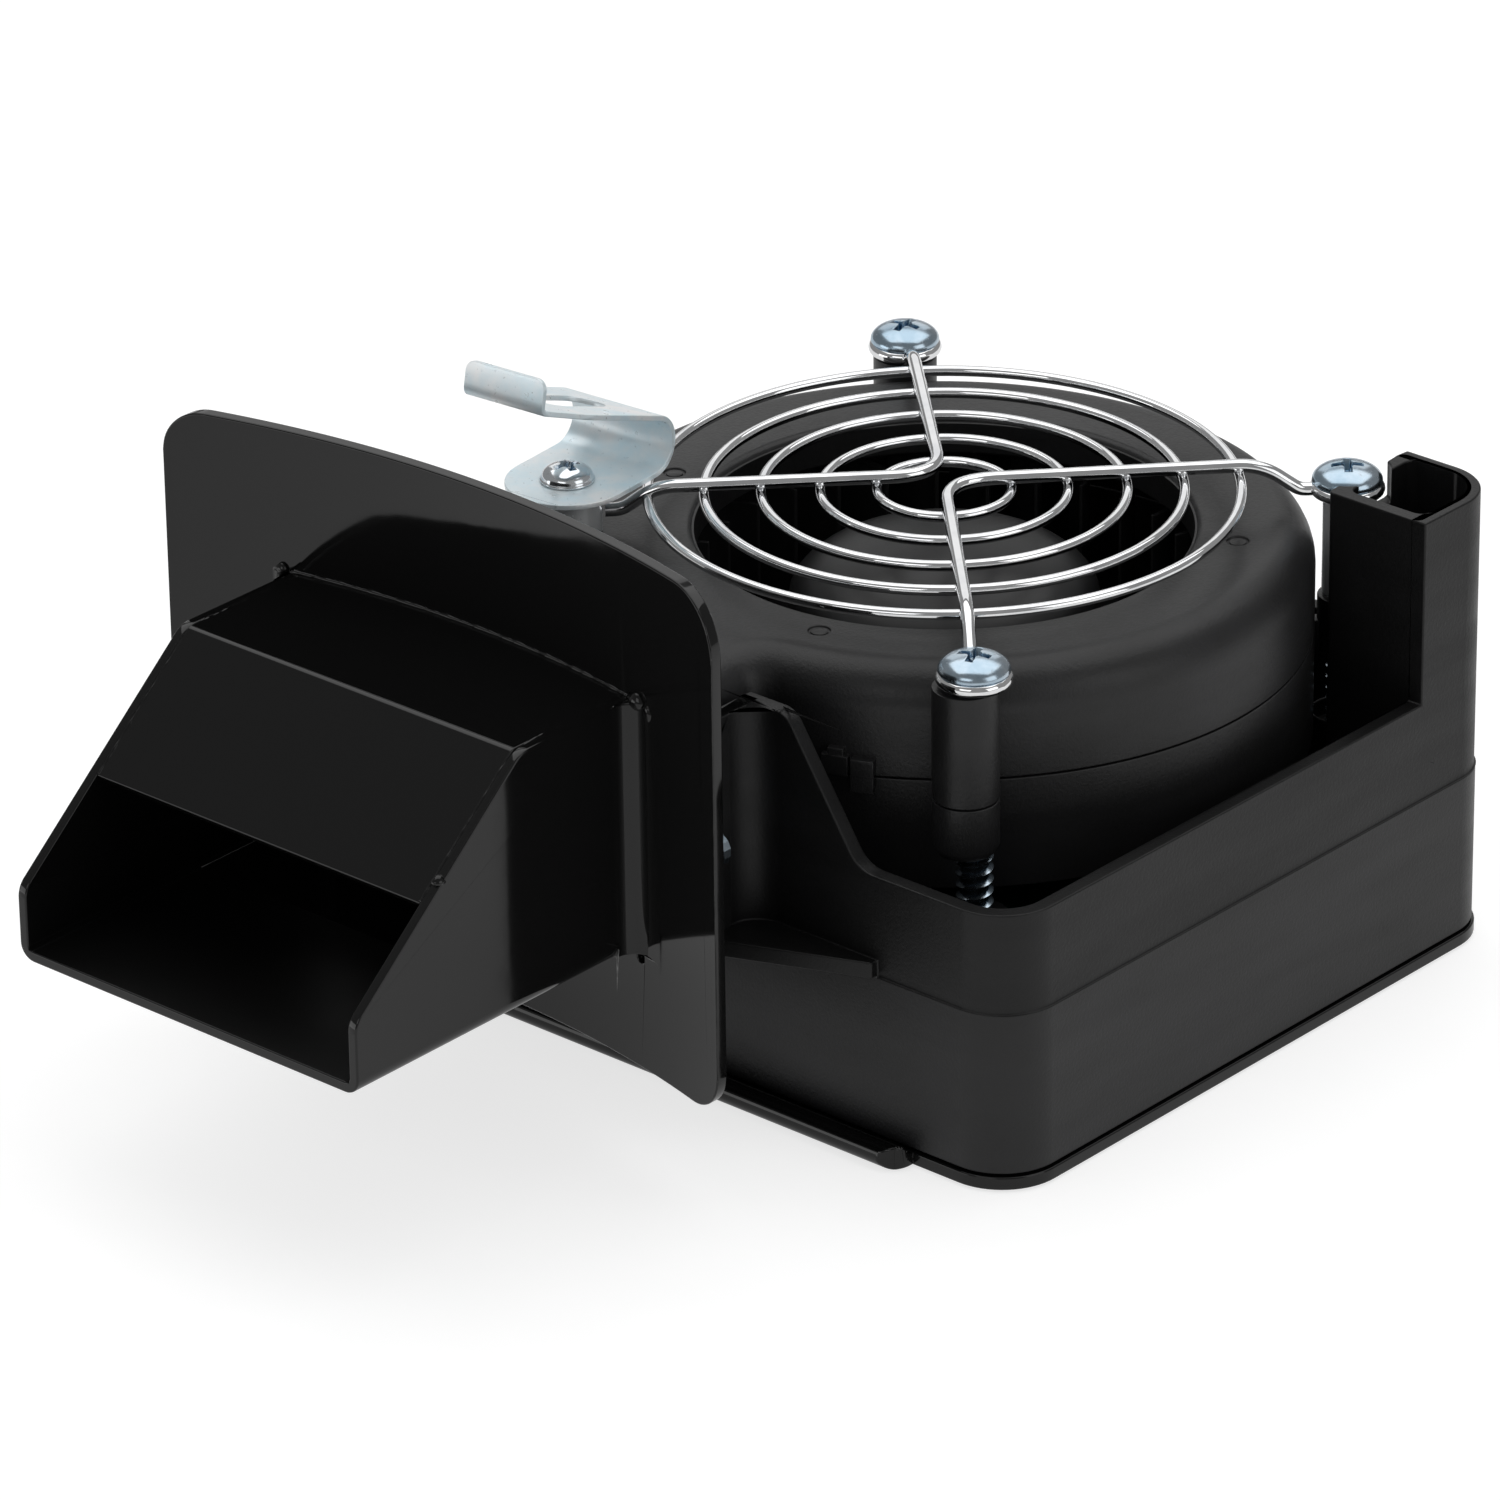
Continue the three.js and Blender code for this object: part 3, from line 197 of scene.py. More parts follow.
def loft(name, loops, closed=False):
    """A skin over loops of equal length, capped at both ends or closed on itself."""
    bm = bmesh.new()
    rows = [[bm.verts.new(p) for p in loop] for loop in loops]
    count = len(rows[0])
    pairs = list(zip(rows, rows[1:]))
    if closed:
        pairs.append((rows[-1], rows[0]))
    for a, b in pairs:
        for i in range(count):
            j = (i + 1) % count
            bm.faces.new((a[i], a[j], b[j], b[i]))
    if not closed:
        bm.faces.new(rows[0])
        bm.faces.new(rows[-1])
    return from_bmesh(name, bm)


def prism(name, outline, low, high, axis="Z"):
    place = AXES[axis]
    return loft(name, [[place(u, v, w) for u, v in outline] for w in (low, high)])


def block(name, x, y, z):
    return prism(name, [(x[0], y[0]), (x[1], y[0]), (x[1], y[1]), (x[0], y[1])], z[0], z[1])


def turned(name, profile, at=(0, 0), segments=64):
    """A solid of revolution about a vertical axis; the profile starts and ends on the axis."""
    bm = bmesh.new()
    rows = []
    for radius, z in profile:
        if radius == 0:
            rows.append([bm.verts.new((at[0], at[1], z))])
            continue
        rows.append([bm.verts.new((x, y, z)) for x, y in circle(*at, radius, segments)])
    for a, b in zip(rows, rows[1:]):
        for i in range(segments):
            j = (i + 1) % segments
            corners = [a[i % len(a)], a[j % len(a)], b[j % len(b)], b[i % len(b)]]
            unique = list(dict.fromkeys(corners))
            if len(unique) > 2:
                bm.faces.new(unique)
    return from_bmesh(name, bm)


def swung(section, angle, at):
    """A section of (radius, height) points, placed at a bearing round a vertical axis."""
    return [(at[0] + r * cos(angle), at[1] + r * sin(angle), z) for r, z in section]


def ring(name, inner, outer, low, high, at=(0, 0), segments=64):
    section = [(inner, low), (outer, low), (outer, high), (inner, high)]
    loops = [swung(section, 2 * pi * i / segments, at) for i in range(segments)]
    return loft(name, loops, closed=True)


def rod(name, radius, low, high, at=(0, 0), segments=48):
    return turned(name, [(0, low), (radius, low), (radius, high), (0, high)], at, segments)


def arc(cx, cy, radius, start, end, steps):
    angles = [start + (end - start) * i / steps for i in range(steps + 1)]
    return [(cx + radius * cos(a), cy + radius * sin(a)) for a in angles]


def circle(cx, cy, radius, steps):
    return arc(cx, cy, radius, 0, 2 * pi, steps)[:-1]


def rounded(points, radii, steps=10):
    """A closed outline whose corners are rounded: each corner has its own radius."""
    outline = []
    count = len(points)
    for i, point in enumerate(points):
        here = Vector(point)
        back = (Vector(points[i - 1]) - here).normalized()
        ahead = (Vector(points[(i + 1) % count]) - here).normalized()
        radius = radii[i] if isinstance(radii, (list, tuple)) else radii
        half = back.angle(ahead) / 2
        if radius <= 0 or abs(half - pi / 2) < 1e-3:
            outline.append(tuple(here))
            continue
        reach = radius / tan(half)
        centre = here + (back + ahead).normalized() * radius / sin(half)
        start = here + back * reach - centre
        end = here + ahead * reach - centre
        sweep = start.angle_signed(end)
        for k in range(steps + 1):
            turn = Matrix.Rotation(-sweep * k / steps, 2)
            outline.append(tuple(centre + turn @ start))
    return outline


def rectangle(x0, x1, y0, y1, radius, steps=10):
    return rounded([(x0, y0), (x1, y0), (x1, y1), (x0, y1)], radius, steps)


def tube(name, points, radius, sides=12, closed=False):
    """A round wire through points. radius is a number, or a function of the share of the length run."""
    points = [Vector(p) for p in points]
    count = len(points)
    loops = []
    across = None
    for i, point in enumerate(points):
        ahead = points[(i + 1) % count] if closed else points[min(i + 1, count - 1)]
        behind = points[i - 1] if closed or i > 0 else points[0]
        along = (ahead - behind).normalized()
        if across is None:
            across = along.orthogonal().normalized()
        across = (across - along * across.dot(along)).normalized()
        other = along.cross(across)
        r = radius(i / count) if callable(radius) else radius
        turn = [2 * pi * k / sides for k in range(sides)]
        loops.append([point + across * cos(t) * r + other * sin(t) * r for t in turn])
    return loft(name, loops, closed)


def hoop(name, radius, wire, z, at=(0, 0), segments=128, sides=14):
    points = [(x, y, z) for x, y in circle(*at, radius, segments)]
    return tube(name, points, wire, sides, True)


def bake(obj):
    """Makes the modifiers' result the object's own mesh."""
    depsgraph = bpy.context.evaluated_depsgraph_get()
    mesh = bpy.data.meshes.new_from_object(obj.evaluated_get(depsgraph))
    obj.modifiers.clear()
    obj.data = mesh
    return obj


def combine(obj, tools, operation):
    for tool in tools:
        modifier = obj.modifiers.new("combine", "BOOLEAN")
        modifier.operation = operation
        modifier.solver = "EXACT"
        modifier.object = tool
        bake(obj)
        bpy.data.objects.remove(tool)
    return obj


def cut(obj, *tools):
    return combine(obj, tools, "DIFFERENCE")


def fuse(obj, *tools):
    return combine(obj, tools, "UNION")


def keep(obj, *tools):
    return combine(obj, tools, "INTERSECT")


def gather(name, parts):
    """One object that holds the meshes of several."""
    bm = bmesh.new()
    for part in parts:
        part.data.transform(part.matrix_world)
        bm.from_mesh(part.data)
        bpy.data.objects.remove(part)
    mesh = bpy.data.meshes.new(name)
    bm.to_mesh(mesh)
    bm.free()
    return link(name, mesh)


def smooth(obj, angle=40):
    obj.data.shade_smooth()
    obj.data.set_sharp_from_angle(angle=radians(angle))
    normals = obj.modifiers.new("normals", "WEIGHTED_NORMAL")
    normals.keep_sharp = True
    return obj


def soften(obj, width, segments=3, angle=32):
    """Rounds the edges of a finished piece."""
    bevel = obj.modifiers.new("bevel", "BEVEL")
    bevel.width = width * MM
    bevel.segments = segments
    bevel.limit_method = "ANGLE"
    bevel.angle_limit = radians(angle)
    bevel.use_clamp_overlap = False
    bake(obj)
    return smooth(obj)


def paint(obj, material):
    obj.data.materials.clear()
    obj.data.materials.append(material)
    return obj


def finish_piece(obj, body, material, slot, *replaced):
    """Gives a visible piece its material and body, and hides the CAD nodes it stands for. The slot argument
    is not used.
    """
    paint(obj, material)
    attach(obj, body)
    if replaced:
        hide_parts(*replaced)
    return obj


# ---- light values: how bright the floor and the room are, as seen directly and in a mirror
FLOOR_GLOW = 0.72
FLOOR_REFLECTION = 0.42
ROOM_LIGHT = 0.35
ROOM_REFLECTION = 0.24


# ---- material helpers
class Nodes:
    """A short way to write a node tree."""

    def __init__(self, name):
        self.material = bpy.data.materials.new(name)
        self.material.use_nodes = True
        self.tree = self.material.node_tree
        self.shader = self.tree.nodes["Principled BSDF"]
        coordinates = self.tree.nodes.new("ShaderNodeTexCoord")
        self.place = coordinates.outputs["Object"]

    def add(self, kind, **inputs):
        node = self.tree.nodes.new(kind)
        for key, value in inputs.items():
            self.feed(node, key.replace("_", " "), value)
        return node

    def feed(self, node, key, value):
        if isinstance(value, bpy.types.NodeSocket):
            self.tree.links.new(value, node.inputs[key])
        else:
            node.inputs[key].default_value = value

    def noise(self, scale, detail=3, roughness=0.55, stretch=None):
        """Noise value whose features are about 1/scale metres across."""
        place = self.place
        if stretch:
            mapping = self.add("ShaderNodeMapping", Vector=place, Scale=stretch)
            place = mapping.outputs["Vector"]
        node = self.add("ShaderNodeTexNoise", Vector=place, Scale=scale, Detail=detail, Roughness=roughness)
        return node.outputs["Fac"]

    def ramp(self, value, low, high, start=0.0, end=1.0):
        """Value stretched from low..high to start..end, and clamped."""
        node = self.add("ShaderNodeMapRange", Value=value, From_Min=low, From_Max=high,
                        To_Min=start, To_Max=end)
        return node.outputs["Result"]

    def math(self, operation, a, b):
        node = self.tree.nodes.new("ShaderNodeMath")
        node.operation = operation
        self.feed(node, 0, a)
        self.feed(node, 1, b)
        return node.outputs["Value"]

    def mix(self, share, a, b):
        node = self.tree.nodes.new("ShaderNodeMix")
        node.data_type = "RGBA"
        for key, value in ((0, share), (6, a), (7, b)):
            self.feed(node, key, value)
        return node.outputs[2]

    def along(self, axis):
        """Coordinate along X, Y or Z (0, 1 or 2), in metres."""
        parts = self.add("ShaderNodeSeparateXYZ", Vector=self.place)
        return parts.outputs[axis]

    def within(self, axis, low, high, blur=0.1):
        """About 1 where the coordinate lies between two values in millimetres, else 0."""
        value = self.along(axis)
        rise = self.ramp(value, (low - blur) * MM, (low + blur) * MM)
        fall = self.ramp(value, (high - blur) * MM, (high + blur) * MM, 1.0, 0.0)
        return self.math("MULTIPLY", rise, fall)

    def hollows(self, distance):
        """Ambient occlusion, used for painted shade: about 1 on open faces, 0 deep in a recess."""
        shade = self.add("ShaderNodeAmbientOcclusion", Distance=distance * MM)
        shade.samples = 6
        shade.only_local = True
        return shade.outputs["AO"]

    def edges(self, radius, low=0.02, high=0.25):
        """About 1 on sharp edges, 0 on flat faces."""
        bevel = self.add("ShaderNodeBevel", Radius=radius * MM)
        bevel.samples = 4
        geometry = self.add("ShaderNodeNewGeometry")
        dot = self.add("ShaderNodeVectorMath")
        dot.operation = "DOT_PRODUCT"
        self.feed(dot, 0, bevel.outputs["Normal"])
        self.feed(dot, 1, geometry.outputs["Normal"])
        return self.ramp(self.math("SUBTRACT", 1.0, dot.outputs["Value"]), low, high)

    def bump(self, height, distance):
        """Surface normal for a height whose full swing is distance millimetres."""
        node = self.add("ShaderNodeBump", Height=height, Distance=distance * MM)
        return node.outputs["Normal"]

    def set(self, **inputs):
        for key, value in inputs.items():
            self.feed(self.shader, key.replace("_", " "), value)
        return self.material


def gray(value, blue=0.0):
    return (value, value, value + blue, 1.0)


# ---- materials
def gloss_black():
    """Stove enamel on sheet steel: deep gloss, faint orange peel, thin lighter edges that are partly rubbed
    wear and partly painted highlight.
    """
    n = Nodes("gloss_black")
    peel = n.noise(130, 2, 0.5)
    haze = n.noise(35, 4, 0.6)
    inside = n.within(0, WALL_LEFT + SHEET, WALL_RIGHT - SHEET)
    above = n.within(2, SNOUT_LOW + SHEET, SNOUT_LIP)
    ahead = n.within(1, SNOUT_FRONT - 1, SNOUT_BEND)
    mouth = n.math("MULTIPLY", n.math("MULTIPLY", inside, above), ahead)
    # Lighter grey on the edges, patchy by noise: partly rubbed wear, partly painted highlight.
    wear_and_highlight = n.math("MULTIPLY", n.edges(0.3, 0.04, 0.35), n.ramp(n.noise(350, 4, 0.7), 0.38, 0.6))
    colour = n.mix(n.math("MULTIPLY", wear_and_highlight, 0.6), gray(0.003), gray(0.3))
    shine = n.math("MULTIPLY", n.math("SUBTRACT", 1.0, mouth), 0.42)
    rough = n.math("ADD", n.ramp(haze, 0.3, 0.7, 0.05, 0.1), n.math("MULTIPLY", mouth, 0.5))
    return n.set(Base_Color=colour, Roughness=rough, Specular_IOR_Level=shine, Normal=n.bump(peel, 0.01))


def moulded_plastic(name, base, rough, grain_scale, grain_depth, edge=0.5, painted_shade_band=None):
    """Filled nylon: fine grain, cloudy sheen, slightly lighter edges that are partly rubbed wear and partly
    painted highlight, and an optional band of painted shade.
    """
    n = Nodes(name)
    grain = n.noise(grain_scale, 3, 0.6)
    cloud = n.noise(45, 4, 0.6)
    flow = n.noise(30, 3, 0.6, stretch=(1, 1, 7))
    # Edges lightened: partly rubbed wear, partly painted highlight.
    rub_and_highlight = n.math("MULTIPLY", n.edges(0.4, 0.03, 0.35), edge)
    tone = n.mix(n.ramp(cloud, 0.35, 0.65), gray(base * 0.85), gray(base * 1.2, 0.0008))
    shine = 0.4
    # Painted shade: between the band's heights the tone is darkened and the specular lowered.
    if painted_shade_band:
        inside = n.within(2, *painted_shade_band)
        tone = n.mix(n.math("MULTIPLY", inside, 0.5), tone, gray(base * 0.3))
        shine = n.math("SUBTRACT", shine, n.math("MULTIPLY", inside, 0.08))
    colour = n.mix(rub_and_highlight, tone, gray(base * 3.2))
    sheen = n.ramp(flow, 0.3, 0.7, rough - 0.05, rough + 0.05)
    roughness = n.math("ADD", sheen, n.ramp(grain, 0.3, 0.7, -0.03, 0.03))
    return n.set(Base_Color=colour, Roughness=roughness, Specular_IOR_Level=shine,
                 Normal=n.bump(grain, grain_depth))


def chrome():
    """Polished plating, a little smeared."""
    n = Nodes("chrome_wire")
    smear = n.noise(160, 3, 0.6)
    colour = n.mix(n.ramp(smear, 0.4, 0.7), (0.92, 0.925, 0.93, 1), (0.8, 0.81, 0.83, 1))
    return n.set(Base_Color=colour, Metallic=1.0, Roughness=n.ramp(smear, 0.3, 0.7, 0.03, 0.09),
                 Normal=n.bump(n.noise(900, 2, 0.5), 0.002))


def zinc(name, tint, pale, rough, stretch, metallic=1.0):
    """Zinc plate: bluish passivation clouds, faint rolling lines, a few dull specks, and painted shade in
    recesses.
    """
    n = Nodes(name)
    cloud = n.noise(110, 4, 0.6)
    lines = n.noise(500, 3, 0.6, stretch=stretch)
    speck = n.ramp(n.noise(1300, 2, 0.5), 0.66, 0.74)
    tone = n.mix(n.ramp(cloud, 0.35, 0.65), tint, pale)
    colour = n.mix(n.math("MULTIPLY", speck, 0.4), tone, (0.4, 0.46, 0.5, 1))
    # Painted shade: recesses such as the cross recess and the thread's grooves are darkened to deep blue.
    colour = n.mix(n.ramp(n.hollows(1.2), 0.45, 0.9), (0.06, 0.16, 0.26, 1), colour)
    sheen = n.ramp(lines, 0.3, 0.7, rough - 0.03, rough + 0.04)
    roughness = n.math("ADD", sheen, n.math("MULTIPLY", speck, 0.12))
    return n.set(Base_Color=colour, Metallic=metallic, Roughness=roughness,
                 Normal=n.bump(lines, 0.0012))


def plain_metal(name, colour, rough, stretch):
    """Bare steel with fine lines along the stretch."""
    n = Nodes(name)
    lines = n.noise(700, 4, 0.6, stretch=stretch)
    dark = tuple(c * 0.7 for c in colour[:3]) + (1.0,)
    return n.set(Base_Color=n.mix(n.ramp(lines, 0.35, 0.65), dark, colour), Metallic=1.0,
                 Roughness=n.ramp(lines, 0.3, 0.7, rough - 0.06, rough + 0.1), Normal=n.bump(lines, 0.01))


def layered(name, light, dark, spacing, rough):
    """Stacked sheets or wound wire: bands across Z."""
    n = Nodes(name)
    wave = n.add("ShaderNodeTexWave", Vector=n.place, Scale=0.31 / (spacing * MM), Distortion=0.4)
    wave.bands_direction = "Z"
    bands = wave.outputs["Fac"]
    return n.set(Base_Color=n.mix(bands, dark, light), Metallic=1.0, Roughness=rough,
                 Normal=n.bump(bands, 0.08))


def soft_matter(name, light, dark, rough, scale=500):
    """Board, component and cable finishes: a mottled dielectric."""
    n = Nodes(name)
    mottle = n.noise(scale, 4, 0.6)
    return n.set(Base_Color=n.mix(n.ramp(mottle, 0.35, 0.65), dark, light),
                 Roughness=n.ramp(mottle, 0.3, 0.7, rough - 0.06, rough + 0.06), Normal=n.bump(mottle, 0.02))


def pale_floor():
    """White paper sweep: mostly its own light, so that shadows stay faint."""
    n = Nodes("pale_floor")
    speckle = n.noise(90, 3, 0.5)
    path = n.add("ShaderNodeLightPath")
    glow = n.ramp(path.outputs["Is Glossy Ray"], 0, 1, FLOOR_GLOW, FLOOR_REFLECTION)
    return n.set(Emission_Strength=glow, Base_Color=n.mix(speckle, gray(0.42), gray(0.45)),
                 Roughness=0.8, Specular_IOR_Level=0.1, Emission_Color=gray(1.0))


BLACK_SHEET = gloss_black()
# The box from the seam to above the riser is darker and less shiny: painted shade.
BOX_PLASTIC = moulded_plastic("box_plastic", 0.008, 0.42, 2100, 0.045, 0.6, (SEAM_Z, RISER_TOP + 1))
DRUM_PLASTIC = moulded_plastic("drum_plastic", 0.011, 0.4, 1900, 0.05, 0.6)
WHEEL_PLASTIC = moulded_plastic("wheel_plastic", 0.012, 0.38, 3200, 0.01)
CHROME = chrome()
SCREW_ZINC = zinc("screw_zinc", (0.38, 0.5, 0.6, 1), (0.62, 0.7, 0.77, 1), 0.2, (1, 1, 1))
BRIGHT_ZINC = zinc("bright_zinc", (0.74, 0.9, 0.97, 1), (0.97, 0.98, 0.98, 1), 0.3, (1, 1, 1), 0.4)
PAN_ZINC = zinc("pan_zinc", (0.78, 0.83, 0.87, 1), (0.95, 0.96, 0.97, 1), 0.13, (1, 1, 1))
SLEEVE_ZINC = zinc("sleeve_zinc", (0.74, 0.78, 0.82, 1), (0.9, 0.92, 0.93, 1), 0.14, (1, 1, 0.05), 0.6)
STEEL = plain_metal("rotor_steel", (0.5, 0.52, 0.54, 1), 0.35, (1, 1, 0.1))
BEARING_STEEL = plain_metal("bearing_steel", (0.7, 0.72, 0.73, 1), 0.2, (1, 1, 0.1))
MAGNET = soft_matter("magnet", (0.05, 0.05, 0.055, 1), (0.03, 0.03, 0.032, 1), 0.7)
LAMINATION = layered("lamination", (0.42, 0.43, 0.44, 1), (0.16, 0.16, 0.17, 1), 0.5, 0.4)
COPPER = layered("copper", (0.72, 0.32, 0.13, 1), (0.3, 0.1, 0.04, 1), 0.4, 0.3)
BOARD = soft_matter("board", (0.02, 0.16, 0.08, 1), (0.012, 0.1, 0.05, 1), 0.35, 300)
COMPONENT = soft_matter("component", (0.03, 0.032, 0.036, 1), (0.02, 0.02, 0.022, 1), 0.45)
RUBBER = soft_matter("cable_rubber", (0.02, 0.02, 0.02, 1), (0.012, 0.012, 0.012, 1), 0.6, 1200)
NYLON = soft_matter("socket_nylon", (0.76, 0.73, 0.64, 1), (0.68, 0.65, 0.57, 1), 0.45, 800)


# ---- moulded box
def box_outline(inset):
    front_right, back_right, back_left, front_left = [max(r - inset, 0.8) for r in CORNERS]
    x0, x1 = BOX_LEFT + inset, BOX_RIGHT - inset
    y0, y1 = BOX_FRONT + inset, BOX_BACK - inset
    bulge = BULGE - inset
    meet = asin(y1 / bulge)
    quarter = pi / 2
    return (
        arc(x1 - front_right, y0 + front_right, front_right, -quarter, 0, 16)
        + arc(x1 - back_right, y1 - back_right, back_right, 0, quarter, 14)
        + arc(0, 0, bulge, meet, pi - meet, 40)
        + arc(x0 + back_left, y1 - back_left, back_left, quarter, pi, 14)
        + arc(x0 + front_left, y0 + front_left, front_left, pi, 3 * quarter, 16)
    )


def raised_front():
    """Space in which walls stand above the rim: beside the duct, right and left, and at the riser."""
    def ramped(start, end, foot, shoulder):
        """Side view: from start to end at the bottom, sloping from foot on the rim up to shoulder."""
        outline = [(start, RAISE_LOW), (end, RAISE_LOW), (end, RIM_Z)]
        outline += [(foot, RIM_Z), (shoulder, TROUGH_TOP), (start, TROUGH_TOP)]
        return rounded(outline, [0, 0, 0, 5, 3.5, 0])

    right = ramped(TROUGH_RIGHT - WALL, 40, 33.4, 20.2)
    left = ramped(BOX_FRONT - 1, -30, -34.2, -47)
    riser_zone = ((RISER_X, BOX_RIGHT + 1), (RISER_Y, BOX_BACK + 1), (RAISE_LOW, RISER_TOP))
    return [
        prism("raised_right", right, BOX_FRONT - 1, BOX_FRONT + 6, "Y"),
        prism("raised_left", left, BOX_LEFT - 1, TROUGH_LEFT + WALL, "X"),
        block("riser_zone", *riser_zone),
    ]


def trough():
    """Floor, side walls and screw ears of the channel that carries the outlet duct."""
    clearance = PLATE_BACK + 0.5
    cx, cy = PLATE_CENTRE
    left = acos((TROUGH_LEFT - cx) / clearance)
    right = acos((TROUGH_RIGHT - cx) / clearance)
    plan = [(GUSSET_END, BOX_FRONT + 0.9), (GUSSET_END, TROUGH_BACK), (TROUGH_LEFT, TROUGH_BACK)]
    plan += arc(cx, cy, clearance, left, right, 24)
    plan += [(TROUGH_RIGHT, -70.2), (15.6, -67.9), (GUSSET_END, -59.3)]
    parts = [prism("trough_floor", plan, SEAM_Z, TROUGH_FLOOR)]
    for x in (TROUGH_LEFT, TROUGH_RIGHT - WALL):
        upright = (SEAM_Z + 0.1, TROUGH_TOP)
        parts.append(block("trough_wall", (x, x + WALL), (TROUGH_REACH, TROUGH_BACK), upright))
    corner = (TROUGH_RIGHT + TROUGH_FILLET, BOX_FRONT + SEAM_STEP - TROUGH_FILLET)
    upright = (SEAM_Z + 0.2, TROUGH_TOP - 0.01)
    fill = block("fill", (TROUGH_RIGHT - 0.5, corner[0]), (corner[1], TROUGH_BACK), upright)
    parts.append(cut(fill, rod("round", TROUGH_FILLET, 0, SKY, corner, 96)))
    for x in EAR_X:
        parts.append(prism("ear", rectangle(x, x + EAR_SIZE, *EAR_Z, 1.4, 6), *EAR_Y, "Y"))
    return parts


def riser_pieces():
    """The riser's outer tube, and the two cutters that hollow it out: a bore over a narrower foot."""
    inner_x, inner_y = RISER_X + RISER_WALL, RISER_Y + RISER_WALL
    body_x, body_y = BOX_RIGHT - RISER_BODY, BOX_BACK - RISER_BODY
    far = RISER_OUTER_WALL
    outer = rectangle(RISER_X, body_x, RISER_Y, body_y, [1.2, 1.2, 8, 1.2], 12)
    corners = [1.5, 2, CORNERS[1] - far, 1.5]
    bore = rectangle(inner_x, BOX_RIGHT - far, inner_y, BOX_BACK - far, corners, 12)
    foot = rectangle(inner_x, BOX_RIGHT - FOOT_WALL, inner_y, BOX_BACK - FOOT_WALL, 2, 8)
    return (
        prism("riser", outer, FLOOR_Z - 1, RISER_TOP),
        prism("riser_bore", bore, RIM_Z - 10, SKY),
        prism("riser_foot", foot, FLOOR_Z, RIM_Z),
    )


def box_shell():
    """The moulded box: a tub with a seam step, raised walls, a trough, the riser and screw pillars."""
    outside = box_outline(SEAM_STEP)
    cavity = box_outline(WALL + SEAM_STEP)
    tall = cut(prism("tall", outside, RIM_Z - 4, RISER_TOP), prism("hollow", cavity, 0, SKY))
    zones = raised_front()
    raised = keep(tall, fuse(zones[0], *zones[1:]))

    lower = prism("shell", box_outline(0), BOX_BOTTOM, SEAM_Z)
    shell = fuse(lower, prism("upper", outside, SEAM_Z - 1, RIM_Z))
    shell = cut(shell, prism("inside", cavity, FLOOR_Z, SKY))
    shell = fuse(shell, raised)
    riser, riser_bore, riser_foot = riser_pieces()
    shell = fuse(shell, riser, *trough())
    pillars = []
    for p, top in ((FRONT, FRONT_PILLAR_TOP), (BACK, PILLAR_TOP), (RIGHT, PILLAR_TOP)):
        pillars.append(rod("post", PILLAR, FLOOR_Z - 1, top, p.xy))
    shell = fuse(shell, *pillars)
    duct = (TROUGH_LEFT + WALL, TROUGH_RIGHT - WALL)
    openings = [
        block("duct_opening", duct, (BOX_FRONT - 1, BOX_FRONT + 5), (TROUGH_FLOOR, SKY)),
        riser_bore,
        riser_foot,
        rod("driver_room", 4.5, FLOOR_Z + 25, SKY, RIGHT.xy, 64),
        rod("head_room", 6.3, 65.5, SKY, RIGHT.xy, 64),
        block("wire_notch", (48, 54), (RISER_Y - 1, RISER_Y + 4), (FLOOR_Z, FLOOR_Z + 16)),
    ]
    openings += [rod("pilot", PILOT, 20, 60, p.xy) for p in (FRONT, BACK, RIGHT)]
    shell = cut(shell, *openings)
    shell.name = "box_shell"
    return soften(shell, 0.28)


# ---- blower housing
def scroll(inset, end=DUCT_END, steps=150):
    """The housing's plan outline, moved inwards by inset; the duct runs to end."""
    side = DUCT_RIGHT - inset
    start = SCROLL_RADIUS - inset
    hollow = TONGUE_RADIUS + inset
    centre = (side + hollow, -sqrt((start + hollow) ** 2 - (side + hollow) ** 2))
    tongue = atan2(centre[1], centre[0])
    outline = []
    for i in range(steps + 1):
        angle = tongue + (pi - tongue) * i / steps
        radius = start + SCROLL_GROWTH * (angle - tongue)
        outline.append((radius * cos(angle), radius * sin(angle)))
    outline += [(DUCT_LEFT + inset, DUCT_TAPER), (DUCT_LEFT + inset, end), (side, end)]
    return outline + arc(centre[0], centre[1], hollow, pi, pi + tongue, 16)[:-1]


def domed_scroll(name, inset, fillet, low, high, end):
    """The plan outline raised to a block with a rounded top edge."""
    loops = [[(x, y, low) for x, y in scroll(inset, end)]]
    steps = 9
    for i in range(steps + 1):
        turn = pi / 2 * i / steps
        inward = inset + fillet * (1 - cos(turn))
        z = high - fillet * (1 - sin(turn))
        loops.append([(x, y, z) for x, y in scroll(inward, end)])
    return loft(name, loops)


def boss_web(p, low, high):
    """A rib that joins a screw boss to the drum's side."""
    reach = Vector(p.xy).length
    bearing = atan2(p.y, p.x)
    web = block("web", (SCROLL_RADIUS - 1, reach), (-WEB, WEB), (low, high))
    web.data.transform(Matrix.Rotation(bearing, 4, "Z"))
    return web


def latch():
    """Snap latch at the parting line: a low block, and a taller one that hooks over the lower half."""
    skin = SCROLL_RADIUS - 1.5
    proud = SCROLL_RADIUS + 1.7
    tongue = (-0.1, 3.3)
    sloped = [(skin, -4.5), (SCROLL_RADIUS + 0.9, -4.5), (SCROLL_RADIUS + 1.4, -0.5), (skin, -0.5)]
    parts = [
        prism("sloped", sloped, PARTING_HIGH, 52.8),
        block("upright", (skin, proud), tongue, (PARTING_HIGH, 52.7)),
        block("hook", (SCROLL_RADIUS + 0.65, proud), tongue, (47.6, PARTING_HIGH + 0.5)),
        block("catch", (skin, SCROLL_RADIUS + 1.0), (-3.6, -1.2), (PARTING_HIGH + 0.8, 53.9)),
    ]
    for part in parts:
        part.data.transform(Matrix.Rotation(LATCH_BEARING, 4, "Z"))
    return parts


